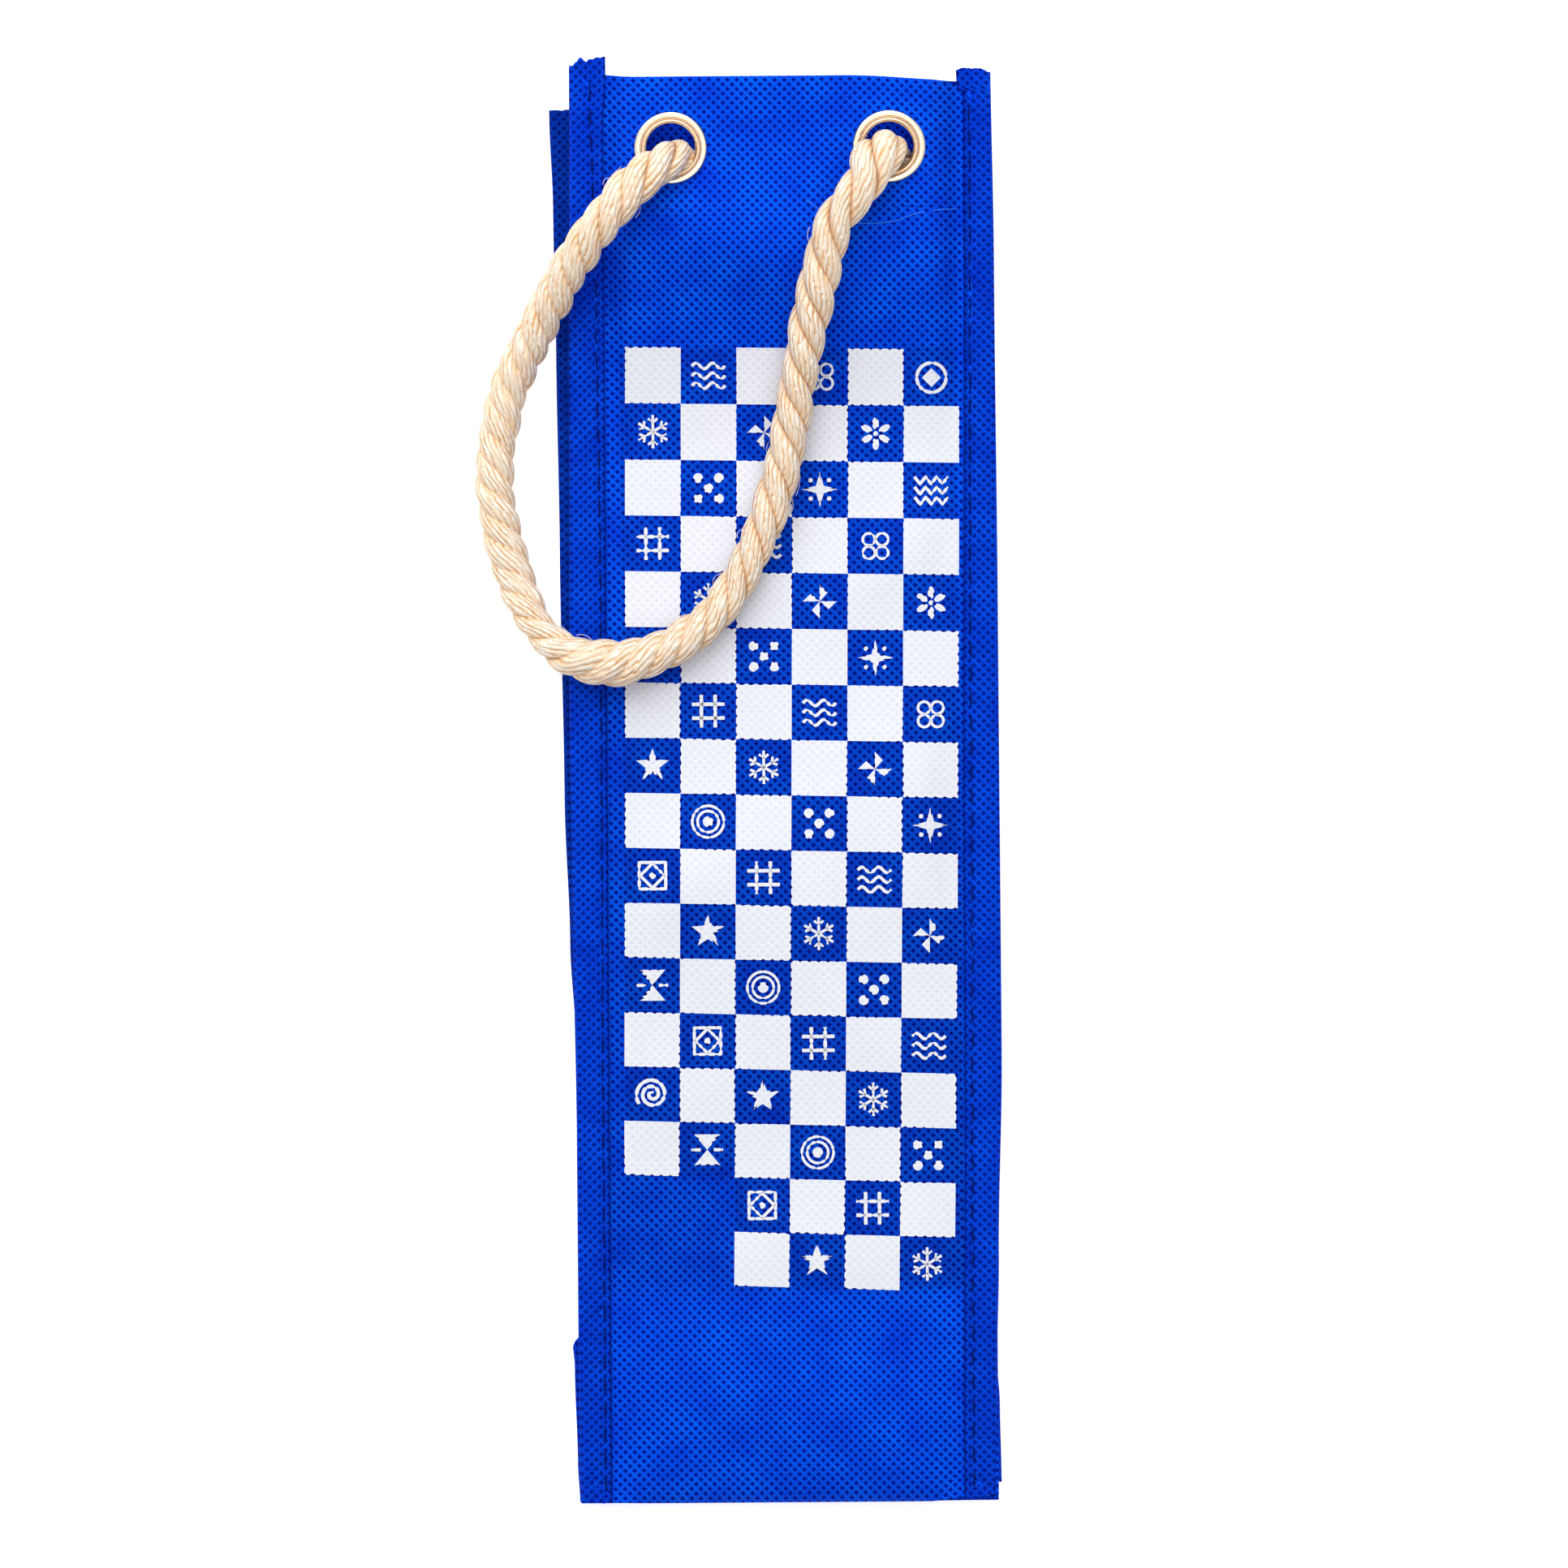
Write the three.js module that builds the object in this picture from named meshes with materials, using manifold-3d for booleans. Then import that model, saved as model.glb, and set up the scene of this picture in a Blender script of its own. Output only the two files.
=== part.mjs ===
// A bottle gift bag of non-woven cloth, folded flat and lying on its back, with a rope handle on its front.
// Millimetres. +X is to the right of the front panel, +Y towards the mouth and +Z up from the floor.
import * as THREE from 'three';
import { mergeVertices } from 'three/addons/utils/BufferGeometryUtils.js';
import Module from 'manifold-3d';

const wasm = await Module();
wasm.setup();

// Panels: the width between the binding tapes, the height of the front, the depth of the open bag
const panelWidth = 88;
const bagHeight = 350;
const baseDepth = 80;
const backMouthDrop = 8;
const hemDepth = 32;

// Cloth: one ply and the air between two plies
const ply = 0.4;
const layerGap = 0.3;

// Binding tapes: their width beyond the seam, the ears above the mouth, and how far the back one shows on the left
const tapeWidth = 8;
const leftEar = 4.6;
const rightEar = 2.8;
const tapePeek = 4.6;
const tapePeekStart = 113;

// Running clearances at a crease and at a seam, and the width of the cut tip of a slanted ply
const creaseGap = 0.3;
const seamGap = 0.9;
const bluntTip = 1.2;

// Eyelets: a ring rolled over a flat washer inside the bag
const eyeletSpacing = 53.6;
const eyeletFromMouth = 17;
const eyeletHole = 12;
const eyeletFlange = 18;
const eyeletRise = 1.3;
const eyeletWall = 0.6;
const eyeletRoll = 0.6;
const rollWidth = 1.6;
const washerThickness = 0.5;
const metalGap = 0.2;
const eyeletFit = 0.3;
const rimChamfer = 0.6;
const ringSides = 24;

// Rope handle and the knots pressed between the plies behind the front panel
const ropeDiameter = 8.4;
const ropeSides = 10;
const ropeSteps = 72;
const ropeGap = 0.3;
const knotWidth = 15;
const knotLength = 17;
const knotThickness = 9;
const neckSteps = 12;

// The rope's way out of an eyelet: distance along its heading, then height above the cloth
const neckPath = [[-1.4, -6], [-1, -2.6], [-0.2, 0.4], [1.8, 3.9], [5.2, 7], [9, 8.8], [12.2, 9.2], [14.5, 9.2]];
const leftHeading = new THREE.Vector3(-7.4, -7.5, 0).normalize();
const rightHeading = new THREE.Vector3(-6, -8, 0).normalize();
const straightEnd = 4;

// The rope's way round from the left eyelet to the right one: x, y and the height of its middle above the floor
const ropeRoute = [
  [-42.8, 316.2, 25.8],
  [-49.6, 307.3, 21.5],
  [-56.1, 296.3, 14.6],
  [-62, 285.1, 8.8],
  [-66.7, 275.3, 5.7],
  [-69.6, 264.2, 4.6],
  [-70.8, 251.7, 4.4],
  [-69.2, 239.5, 4.4],
  [-66, 228, 4.9],
  [-61.6, 217.6, 7.8],
  [-54.6, 209.4, 11.8],
  [-43.7, 205.8, 12.6],
  [-31.3, 208.2, 11.6],
  [-20.6, 214.2, 11.3],
  [-13, 222.8, 11.2],
  [-7.8, 232.9, 11.2],
  [-3.1, 244.4, 11.2],
  [0.4, 255.8, 11.5],
  [2.9, 268.9, 13.2],
  [5.1, 281, 16.4],
  [7.3, 291.4, 19.4],
  [10.1, 303.2, 22.4],
  [13.3, 314.2, 25],
];

// Levels of the folded stack, in steps of one ply and its gap up from the floor
const level = { base: 1, triangle: 2, backLower: 4, back: 7, gussetRear: 8, gussetFront: 9, front: 10 };

// Sizes that follow from those above
const step = ply + layerGap;
const floorOf = (n) => n * step;
const halfWidth = panelWidth / 2;
const gussetHalf = baseDepth / 2;
const backTop = bagHeight - backMouthDrop;
const gussetTop = bagHeight - backMouthDrop / 2;
const clothEdge = halfWidth + tapeWidth - step;
const eyeletX = eyeletSpacing / 2;
const frontEyeletY = bagHeight - eyeletFromMouth;
const backEyeletY = backTop - eyeletFromMouth;
const barrelDepth = 2 * ply + layerGap + 2 * metalGap + washerThickness;
const knotFloor = floorOf(level.gussetFront) + ply + ropeGap;
const frontFace = knotFloor + knotThickness + ropeGap + eyeletRoll + barrelDepth;
const frontRise = frontFace - floorOf(level.front) - ply;
const backFace = floorOf(level.gussetRear) - layerGap - eyeletRoll - barrelDepth;
const backSink = floorOf(level.back) - backFace;

// Near the mouth the front stands up over the knots and the back sinks to its eyelets, both on a flat plateau
const plateauMargin = 0.8;
const plateauHalf = eyeletX + eyeletFlange / 2 + plateauMargin;
const plateauEdge = halfWidth - seamGap - creaseGap;
const hemMargin = 2;
const plateauStart = bagHeight - hemDepth - hemMargin;
const riseLength = 60;
const hemHalf = plateauEdge - hemMargin;

function ease(share) {
  const t = Math.min(1, Math.max(0, share));
  return t * t * (3 - 2 * t);
}

function plateau(x, y) {
  const across = Math.min(1, Math.max(0, (plateauEdge - Math.abs(x)) / (plateauEdge - plateauHalf)));
  return across * ease((y - plateauStart + riseLength) / riseLength);
}

const flat = () => 0;
const frontLift = (x, y) => frontRise * plateau(x, y);
const backLift = (x, y) => -backSink * plateau(x, y);

// Joining and cutting of closed meshes
function toSolid(geometry) {
  const bare = geometry.clone();
  bare.deleteAttribute('normal');
  bare.deleteAttribute('uv');
  const merged = mergeVertices(bare, 1e-4);
  return new wasm.Manifold(new wasm.Mesh({
    numProp: 3,
    vertProperties: new Float32Array(merged.getAttribute('position').array),
    triVerts: new Uint32Array(merged.getIndex().array),
  }));
}

function toGeometry(solid) {
  const mesh = solid.getMesh();
  const geometry = new THREE.BufferGeometry();
  geometry.setAttribute('position', new THREE.Float32BufferAttribute(mesh.vertProperties, 3));
  geometry.setIndex(Array.from(mesh.triVerts));
  return geometry;
}

function signedVolume(points, index) {
  const corner = (i) => new THREE.Vector3().fromArray(points, index[i] * 3);
  let volume = 0;
  for (let i = 0; i < index.length; i += 3) {
    volume += corner(i).dot(corner(i + 1).cross(corner(i + 2)));
  }
  return volume;
}

// A closed cloth solid on a grid of rows and columns: place gives the point on its first or second face
function clothSolid(rows, columns, place) {
  const points = [];
  const index = [];
  const at = (face, row, column) => (face * rows + row) * columns + column;
  const quad = (a, b, c, d) => index.push(a, b, c, a, c, d);
  for (const face of [0, 1]) {
    for (let row = 0; row < rows; row += 1) {
      for (let column = 0; column < columns; column += 1) {
        points.push(...place(row, column, face));
      }
    }
  }
  for (let row = 0; row < rows - 1; row += 1) {
    for (let column = 0; column < columns - 1; column += 1) {
      quad(at(0, row, column), at(0, row, column + 1), at(0, row + 1, column + 1), at(0, row + 1, column));
      quad(at(1, row, column), at(1, row + 1, column), at(1, row + 1, column + 1), at(1, row, column + 1));
    }
    const last = columns - 1;
    quad(at(0, row, 0), at(0, row + 1, 0), at(1, row + 1, 0), at(1, row, 0));
    quad(at(0, row, last), at(1, row, last), at(1, row + 1, last), at(0, row + 1, last));
  }
  for (let column = 0; column < columns - 1; column += 1) {
    const last = rows - 1;
    quad(at(0, 0, column), at(1, 0, column), at(1, 0, column + 1), at(0, 0, column + 1));
    quad(at(0, last, column), at(0, last, column + 1), at(1, last, column + 1), at(1, last, column));
  }
  if (signedVolume(points, index) < 0) {
    index.reverse();
  }
  const geometry = new THREE.BufferGeometry();
  geometry.setAttribute('position', new THREE.Float32BufferAttribute(points, 3));
  geometry.setIndex(index);
  return geometry;
}

// One flat ply at a level, with its left and right edges given at each height y
function flatPly(atLevel, heights, left, right) {
  return clothSolid(heights.length, 2, (row, column, face) => {
    const y = heights[row];
    return [column === 0 ? left(y) : right(y), y, floorOf(atLevel) + face * ply];
  });
}

// A front or back panel: its ply, lifted near the mouth, joined to the hem that is turned in at its top
function hemmedPanel(atLevel, bottom, top, lift, hemSide) {
  const innerRadius = layerGap / 2;
  const outerRadius = innerRadius + ply;
  const foldMiddle = floorOf(atLevel) + (hemSide < 0 ? -innerRadius : ply + innerRadius);
  const foldStart = top - outerRadius;
  const across = (half) => [-half, -plateauHalf, 0, plateauHalf, half];
  const wide = [-clothEdge, -plateauEdge, -plateauHalf, 0, plateauHalf, plateauEdge, clothEdge];
  const piece = (rows, columns) => clothSolid(rows.length, columns.length, (row, column, face) => {
    const [height, degrees] = rows[row];
    const radius = face === 0 ? outerRadius : innerRadius;
    const angle = THREE.MathUtils.degToRad(degrees);
    const x = columns[column];
    const y = height + radius * Math.sin(angle);
    return [x, y, foldMiddle - hemSide * radius * Math.cos(angle) + lift(x, y)];
  });
  const rise = [0, 0.2, 0.4, 0.6, 0.8, 1].map((share) => [plateauStart - riseLength * (1 - share), 0]);
  const panel = piece([[bottom, 0], ...rise, [foldStart, 0]], wide);
  const fold = [0, 45, 90, 135, 180].map((degrees) => [foldStart, degrees]);
  const hem = piece([[foldStart - ply, 0], ...fold, [top - hemDepth, 180]], across(hemHalf));
  return toSolid(panel).add(toSolid(hem));
}

// Cuts the holes for a panel's two eyelets
function withEyeletHoles(solid, y) {
  const radius = eyeletHole / 2 + eyeletWall + eyeletFit;
  let cut = solid;
  for (const x of [-eyeletX, eyeletX]) {
    const cutter = new THREE.CylinderGeometry(radius, radius, bagHeight, ringSides);
    cutter.rotateX(Math.PI / 2);
    cutter.translate(x, y, 0);
    cut = cut.subtract(toSolid(cutter));
  }
  return toGeometry(cut);
}

// A binding tape: a strip folded round the edge of the ply at a level, open towards the middle of the panel
function bindingTape(atLevel, side, bottom, top, peek = flat) {
  const inner = halfWidth + creaseGap / 2;
  const outer = halfWidth + tapeWidth;
  const upper = step;
  const lower = -step;
  const section = [
    [[inner, upper + ply], [inner, upper]],
    [[outer, upper + ply], [outer - ply, upper]],
    [[outer, lower], [outer - ply, lower + ply]],
    [[inner, lower], [inner, lower + ply]],
  ];
  const bends = peek === flat ? [bottom, top] : [bottom, tapePeekStart, top];
  return clothSolid(section.length, bends.length, (row, column, face) => {
    const [x, z] = section[row][face];
    const shown = x > inner ? peek(bends[column]) : 0;
    return [side * (x + shown), bends[column], floorOf(atLevel) + z];
  });
}

// How far the back tape shows beyond the front one at a height
function backPeek(y) {
  return tapePeek * Math.min(1, Math.max(0, (y - tapePeekStart) / (backTop - tapePeekStart)));
}

// Half a gusset, cut along the slant where the base folds in
function gussetHalfPly(atLevel, side) {
  const seam = halfWidth - seamGap;
  const crease = halfWidth - gussetHalf + creaseGap;
  const slant = (y) => Math.max(crease, halfWidth - y);
  const heights = [seamGap + bluntTip, gussetHalf - creaseGap, gussetTop];
  return flatPly(atLevel, heights, () => side * seam, (y) => side * slant(y));
}

// The triangle of a gusset that lies on the folded base, one step inside the gusset's own line
function baseTriangle(side) {
  const seam = halfWidth - seamGap - step;
  const slant = (y) => halfWidth - Math.min(y, baseDepth - y);
  const tip = seamGap + step + bluntTip;
  return flatPly(level.triangle, [tip, gussetHalf, baseDepth - tip], () => side * seam, (y) => side * slant(y));
}

// An eyelet round its own Z axis: height 0 is the outer face of the cloth, and the roll is inside the bag
function eyelet() {
  const bore = eyeletHole / 2;
  const rim = eyeletFlange / 2;
  const profile = [
    [bore, -barrelDepth - eyeletRoll],
    [bore + rollWidth, -barrelDepth - eyeletRoll],
    [bore + rollWidth, -barrelDepth],
    [bore + eyeletWall, -barrelDepth],
    [bore + eyeletWall, metalGap],
    [rim, metalGap],
    [rim - rimChamfer, eyeletRise * 0.8],
    [(bore + rim) / 2, eyeletRise],
    [bore + rimChamfer, eyeletRise * 0.8],
    [bore, eyeletRise * 0.3],
  ];
  const points = [...profile, profile[0]].map(([radius, height]) => new THREE.Vector2(radius, height));
  return new THREE.LatheGeometry(points, ringSides).rotateX(Math.PI / 2);
}

// A washer round its own Z axis, from height 0 down
function washer() {
  const inner = eyeletHole / 2 + eyeletWall + eyeletFit;
  const outer = eyeletFlange / 2;
  const profile = [[inner, -washerThickness], [outer, -washerThickness], [outer, 0], [inner, 0]];
  const points = [...profile, profile[0]].map(([radius, height]) => new THREE.Vector2(radius, height));
  return new THREE.LatheGeometry(points, ringSides).rotateX(Math.PI / 2);
}

function ropeTube(points, steps) {
  const section = new THREE.Shape(Array.from({ length: ropeSides }, (_, i) => {
    const angle = (2 * Math.PI * i) / ropeSides;
    return new THREE.Vector2(Math.cos(angle), Math.sin(angle)).multiplyScalar(ropeDiameter / 2);
  }));
  const path = new THREE.CatmullRomCurve3(points, false, 'centripetal');
  return new THREE.ExtrudeGeometry(section, { steps, extrudePath: path });
}

// A pressed knot with the neck of rope that leaves it through the eyelet
function knot(eyeletCentre, heading) {
  const ball = new THREE.SphereGeometry(0.5, 16, 10);
  ball.scale(knotWidth, knotLength, knotThickness);
  ball.translate(eyeletCentre.x, eyeletCentre.y, knotFloor + knotThickness / 2);
  const neck = ropeTube(neckPath.map(([along, height]) => {
    return eyeletCentre.clone().addScaledVector(heading, along).add(new THREE.Vector3(0, 0, height));
  }), neckSteps);
  return toGeometry(toSolid(ball).add(toSolid(neck)));
}

// Colours and finishes
const finishes = {
  cloth: { color: 0x0046d2, roughness: 0.75, metalness: 0 },
  tape: { color: 0x0040c0, roughness: 0.75, metalness: 0 },
  metal: { color: 0xe0cfa6, roughness: 0.25, metalness: 1 },
  cotton: { color: 0xf2ddbe, roughness: 0.9, metalness: 0 },
};

function piece(name, geometry, finish) {
  const mesh = new THREE.Mesh(geometry, new THREE.MeshStandardMaterial(finishes[finish]));
  mesh.name = name;
  return mesh;
}

// The cloth body, built level with the folded stack
const bag = new THREE.Group();
const sides = { left: -1, right: 1 };
const frontPanel = hemmedPanel(level.front, 0, bagHeight, frontLift, -1);
const backPanel = hemmedPanel(level.back, gussetHalf + creaseGap, backTop, backLift, 1);
const foldedEnd = baseDepth - creaseGap;
const span = (bottom, top) => [[bottom, top], () => -clothEdge, () => clothEdge];
bag.add(piece('front_panel', withEyeletHoles(frontPanel, frontEyeletY), 'cloth'));
bag.add(piece('back_panel', withEyeletHoles(backPanel, backEyeletY), 'cloth'));
bag.add(piece('back_lower_panel', flatPly(level.backLower, ...span(gussetHalf + creaseGap, foldedEnd)), 'cloth'));
bag.add(piece('base_panel', flatPly(level.base, ...span(0, foldedEnd)), 'cloth'));

for (const [sideName, side] of Object.entries(sides)) {
  const ear = side < 0 ? leftEar : rightEar;
  const creaseEnd = gussetHalf + creaseGap;
  const tapes = {
    front: bindingTape(level.front, side, 0, bagHeight + ear),
    back: bindingTape(level.back, side, creaseEnd, backTop, side < 0 ? backPeek : flat),
    back_lower: bindingTape(level.backLower, side, creaseEnd, foldedEnd),
    base: bindingTape(level.base, side, 0, foldedEnd),
  };
  for (const [panelName, geometry] of Object.entries(tapes)) {
    bag.add(piece(`${panelName}_${sideName}_binding`, geometry, 'tape'));
  }
  bag.add(piece(`${sideName}_gusset_rear`, gussetHalfPly(level.gussetRear, side), 'cloth'));
  bag.add(piece(`${sideName}_gusset_front`, gussetHalfPly(level.gussetFront, side), 'cloth'));
  bag.add(piece(`${sideName}_base_triangle`, baseTriangle(side), 'cloth'));
}

// Eyelets and washers: the front set faces up and the back set faces the floor
const faces = {
  front: { y: frontEyeletY, z: frontFace, turn: 0 },
  back: { y: backEyeletY, z: backFace, turn: Math.PI },
};
for (const [panelName, face] of Object.entries(faces)) {
  const inward = face.turn === 0 ? -1 : 1;
  const washerDepth = 2 * ply + layerGap + metalGap;
  for (const [sideName, side] of Object.entries(sides)) {
    const ring = piece(`${panelName}_${sideName}_eyelet`, eyelet(), 'metal');
    ring.position.set(side * eyeletX, face.y, face.z);
    ring.rotation.x = face.turn;
    const disc = piece(`${panelName}_${sideName}_washer`, washer(), 'metal');
    disc.position.set(side * eyeletX, face.y, face.z + inward * washerDepth);
    disc.rotation.x = face.turn;
    bag.add(ring, disc);
  }
}

// The bag lies on the folded edge of its base and on the rims of the back eyelets
const rimFar = backEyeletY + (eyeletHole + eyeletFlange) / 4;
const rimHeight = backFace - eyeletRise;
bag.rotation.x = -Math.atan2(rimHeight, rimFar - foldedEnd);
bag.updateMatrixWorld(true);

// Knots stand in the bag, and the rope handle between their necks lies over the front and the floor
const leftCentre = new THREE.Vector3(-eyeletX, frontEyeletY, frontFace);
const rightCentre = new THREE.Vector3(eyeletX, frontEyeletY, frontFace);
bag.add(piece('left_knot', knot(leftCentre, leftHeading), 'cotton'));
bag.add(piece('right_knot', knot(rightCentre, rightHeading), 'cotton'));

// A point of the rope beyond the end of a neck, at a distance along its heading
function beyondNeck(centre, heading, distance) {
  const [reach, height] = neckPath[neckPath.length - 1];
  const end = centre.clone().addScaledVector(heading, reach + distance).add(new THREE.Vector3(0, 0, height));
  return bag.localToWorld(end);
}

const seat = new THREE.Box3().setFromObject(bag, true);
const part = new THREE.Group();
const route = [
  beyondNeck(leftCentre, leftHeading, ropeGap),
  beyondNeck(leftCentre, leftHeading, straightEnd),
  ...ropeRoute.map(([x, y, z]) => new THREE.Vector3(x, y, z + seat.min.z)),
  beyondNeck(rightCentre, rightHeading, straightEnd),
  beyondNeck(rightCentre, rightHeading, ropeGap),
];
part.add(bag, piece('rope_handle', toGeometry(toSolid(ropeTube(route, ropeSteps))), 'cotton'));

// The origin is under the middle of the bag, on the floor
part.position.set(-(seat.min.x + seat.max.x) / 2, -(seat.min.y + seat.max.y) / 2, -seat.min.z);
part.updateMatrixWorld(true);

export default part;
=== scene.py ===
"""A folded bottle gift bag of dot-pressed non-woven cloth with a rope handle, dressed on its CAD frame."""

import math
import random

import bmesh
import bpy
from mathutils import Matrix, Vector


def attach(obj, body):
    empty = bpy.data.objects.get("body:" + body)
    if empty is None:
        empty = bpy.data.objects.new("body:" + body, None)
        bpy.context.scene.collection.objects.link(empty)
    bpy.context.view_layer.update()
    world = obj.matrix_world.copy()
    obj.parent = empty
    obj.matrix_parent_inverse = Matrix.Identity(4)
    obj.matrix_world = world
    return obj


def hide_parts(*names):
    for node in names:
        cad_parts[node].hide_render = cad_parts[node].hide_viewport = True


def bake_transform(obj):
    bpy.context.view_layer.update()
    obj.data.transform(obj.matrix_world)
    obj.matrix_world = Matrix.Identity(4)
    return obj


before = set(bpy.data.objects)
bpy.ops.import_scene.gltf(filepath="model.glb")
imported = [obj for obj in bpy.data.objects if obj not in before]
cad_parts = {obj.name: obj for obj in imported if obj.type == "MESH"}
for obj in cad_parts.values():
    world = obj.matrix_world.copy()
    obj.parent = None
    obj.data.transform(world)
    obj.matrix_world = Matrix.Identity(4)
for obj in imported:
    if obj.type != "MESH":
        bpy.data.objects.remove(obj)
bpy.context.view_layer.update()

# Sizes of the bag in millimetres: x from the middle, y up from the front's bottom edge, z up the stack
MM = 0.001
HALF_WIDTH = 44
BAG_HEIGHT = 350
BASE_DEPTH = 80
GUSSET_HALF = BASE_DEPTH / 2
BACK_TOP = 342
GUSSET_TOP = 346
HEM_DEPTH = 32
HEM_HALF = 40.8
CLOTH_EDGE = 51.3
PLY = 0.4
STEP = 0.7

# Eyelets
EYELET_X = 26.8
FRONT_EYELET_Y = 333
BACK_EYELET_Y = 325
FRONT_FACE = 18.9
BACK_FACE = 2.7
EYELET_BORE = 6
EYELET_RIM = 9
BARREL_DEPTH = 2
CUT_RADIUS = 6.9
RING_STEPS = 72

# The mouth stands up over the knots, and the back sinks to its eyelets
FRONT_RISE = 11.5
BACK_SINK = 2.2
TAPE_LIFT = 3
PLATEAU_HALF = 36.2
PLATEAU_START = 316
RISE_LENGTH = 60

# The hem's seam sinks a little into the front
HEM_SEAM = BAG_HEIGHT - HEM_DEPTH
SEAM_DENT = 0.22
SEAM_DENT_REACH = 0.7

# Levels of the folded plies, in steps
LEVELS = {
    "base": 1,
    "triangle": 2,
    "back_lower": 4,
    "back": 7,
    "gusset_rear": 8,
    "gusset_front": 9,
    "front": 10,
}

# Where the bag's own frame stands in the row frame
SEAT_X = 2.3
SEAT_Y = -177.32
SEAT_Z = 0.441
# The folded bag lies on the rear fold of its base and on the back eyelets, so it leans by this much
LEAN = math.radians(0.3173)
SEAT = Matrix.Translation((SEAT_X * MM, SEAT_Y * MM, SEAT_Z * MM)) @ Matrix.Rotation(-LEAN, 4, "X")

# Pressed dots: the cell of their lattice across and along the cloth
DOT_CELL = (2.315, 2.275)
# Millimetres of the flat cut to one unit of the UV map
UV_UNIT = 100


def row_point(x, y, z):
    """A point of the bag, in millimetres, as a point of the row frame, in metres."""
    return SEAT @ (Vector((x, y, z)) * MM)


def ease(share):
    """0 below 0 and 1 above 1, with a soft start and end between them."""
    t = min(1, max(0, share))
    return t * t * (3 - 2 * t)


def along(stops, y):
    """A value that runs smoothly through (y, value) stops in rising order of y."""
    if y <= stops[0][0]:
        return stops[0][1]
    for (y0, v0), (y1, v1) in zip(stops, stops[1:]):
        if y <= y1:
            return v0 + (v1 - v0) * ease((y - y0) / (y1 - y0))
    return stops[-1][1]


# Camera: straight above the bag, far off, turned a little as the photograph is
VIEW_X = 2.1
VIEW_Y = -0.7
VIEW_WIDTH = 386.05
VIEW_DISTANCE = 8000
VIEW_TURN = math.radians(-0.45)
SENSOR = 36
view_place = (VIEW_X * MM, VIEW_Y * MM, VIEW_DISTANCE * MM)
bpy.ops.object.camera_add(location=view_place, rotation=(0, 0, VIEW_TURN))
camera = bpy.context.object
camera.data.sensor_width = SENSOR
camera.data.lens = SENSOR * VIEW_DISTANCE / VIEW_WIDTH
camera.data.clip_end = 2.5 * VIEW_DISTANCE * MM
bpy.context.scene.camera = camera


# Print: a checked field, with a bare block of cells in its lower left corner
PRINT_LEFT = -40.7
PRINT_TOP = 284.35
CELL_X = 13.7
CELL_Y = 13.85
PRINT_COLUMNS = 6
PRINT_ROWS = 17
BARE_CELLS = 2
# The print isn't quite square: it leans, its rows close up and slope to the right, and its foot draws in
PRINT_LEAN = 0.00785
ROW_CLOSING = 0.0185
ROW_SLOPE = (0.0155, 0.001, 0.0000006)
FOOT_DRAW = (0.2, 0.16)


def print_point(column, row):
    """A point of the print, counted in cells from its upper left corner."""
    y = PRINT_TOP - CELL_Y * row + ROW_CLOSING * row * row
    drawn_in = (row / PRINT_ROWS) ** 2 * (FOOT_DRAW[0] + FOOT_DRAW[1] * column)
    x = PRINT_LEFT + CELL_X * column + PRINT_LEAN * y - drawn_in
    slope = ROW_SLOPE[0] + ROW_SLOPE[1] * row + ROW_SLOPE[2] * row ** 3
    return x, y - slope * CELL_X * column


def linear(hex_colour):
    """An sRGB hex colour as linear red, green and blue, with alpha."""
    shares = [int(hex_colour[i:i + 2], 16) / 255 for i in (1, 3, 5)]
    return [c / 12.92 if c <= 0.04045 else ((c + 0.055) / 1.055) ** 2.4 for c in shares] + [1]


def add_node(tree, kind, inputs=None, **settings):
    """Adds a shader node, applies its settings, fills or links its inputs, and gives back its outputs."""
    node = tree.nodes.new("ShaderNode" + kind)
    for key, value in settings.items():
        setattr(node, key, value)
    for key, value in (inputs or {}).items():
        if isinstance(value, bpy.types.NodeSocket):
            tree.links.new(value, node.inputs[key])
        else:
            node.inputs[key].default_value = value
    return node.outputs


def new_material(name):
    """An empty node material, and its tree."""
    material = bpy.data.materials.new(name)
    material.use_nodes = True
    material.node_tree.nodes.clear()
    return material, material.node_tree


def fade_in(tree, value, start, end):
    """0 at start and 1 at end, in millimetres of the cut cloth, eased between them."""
    edge = {"Value": value, "From Min": start / UV_UNIT, "From Max": end / UV_UNIT}
    return add_node(tree, "MapRange", edge, interpolation_type="SMOOTHSTEP")[0]


def darken(tree, colour, shares, tone):
    """Multiplies a colour by a grey where all the shares are 1."""
    place = shares[0]
    for share in shares[1:]:
        place = add_node(tree, "Math", {0: place, 1: share}, operation="MULTIPLY")[0]
    inputs = {0: place, 6: colour, 7: (tone, tone, tone, 1)}
    return add_node(tree, "Mix", inputs, data_type="RGBA", blend_type="MULTIPLY")[2]


def wandering(tree, uv, scale, reach):
    """The place on the flat cut led a little astray, so that no row of dots or yarns runs dead straight."""
    drift = add_node(tree, "TexNoise", {"Vector": uv, "Scale": scale, "Detail": 2})[1]
    wander = add_node(tree, "VectorMath", {0: drift, 1: (0.5, 0.5, 0.5)}, operation="SUBTRACT")[0]
    inputs = {0: wander, 1: (*reach, 0), 2: uv}
    return add_node(tree, "VectorMath", inputs, operation="MULTIPLY_ADD")[0]


# Deeper tones of the printed cloth: darker in the print's cells, and a painted shade over a broad zone from
# its foot upward
CELL_TONE = 0.79
SHADE_ZONE_TONE = 0.81
SHADE_ZONE_FOOT = (48, 58)
SHADE_ZONE_TOP = (285, 130)
TONE_FADE = 1


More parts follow.
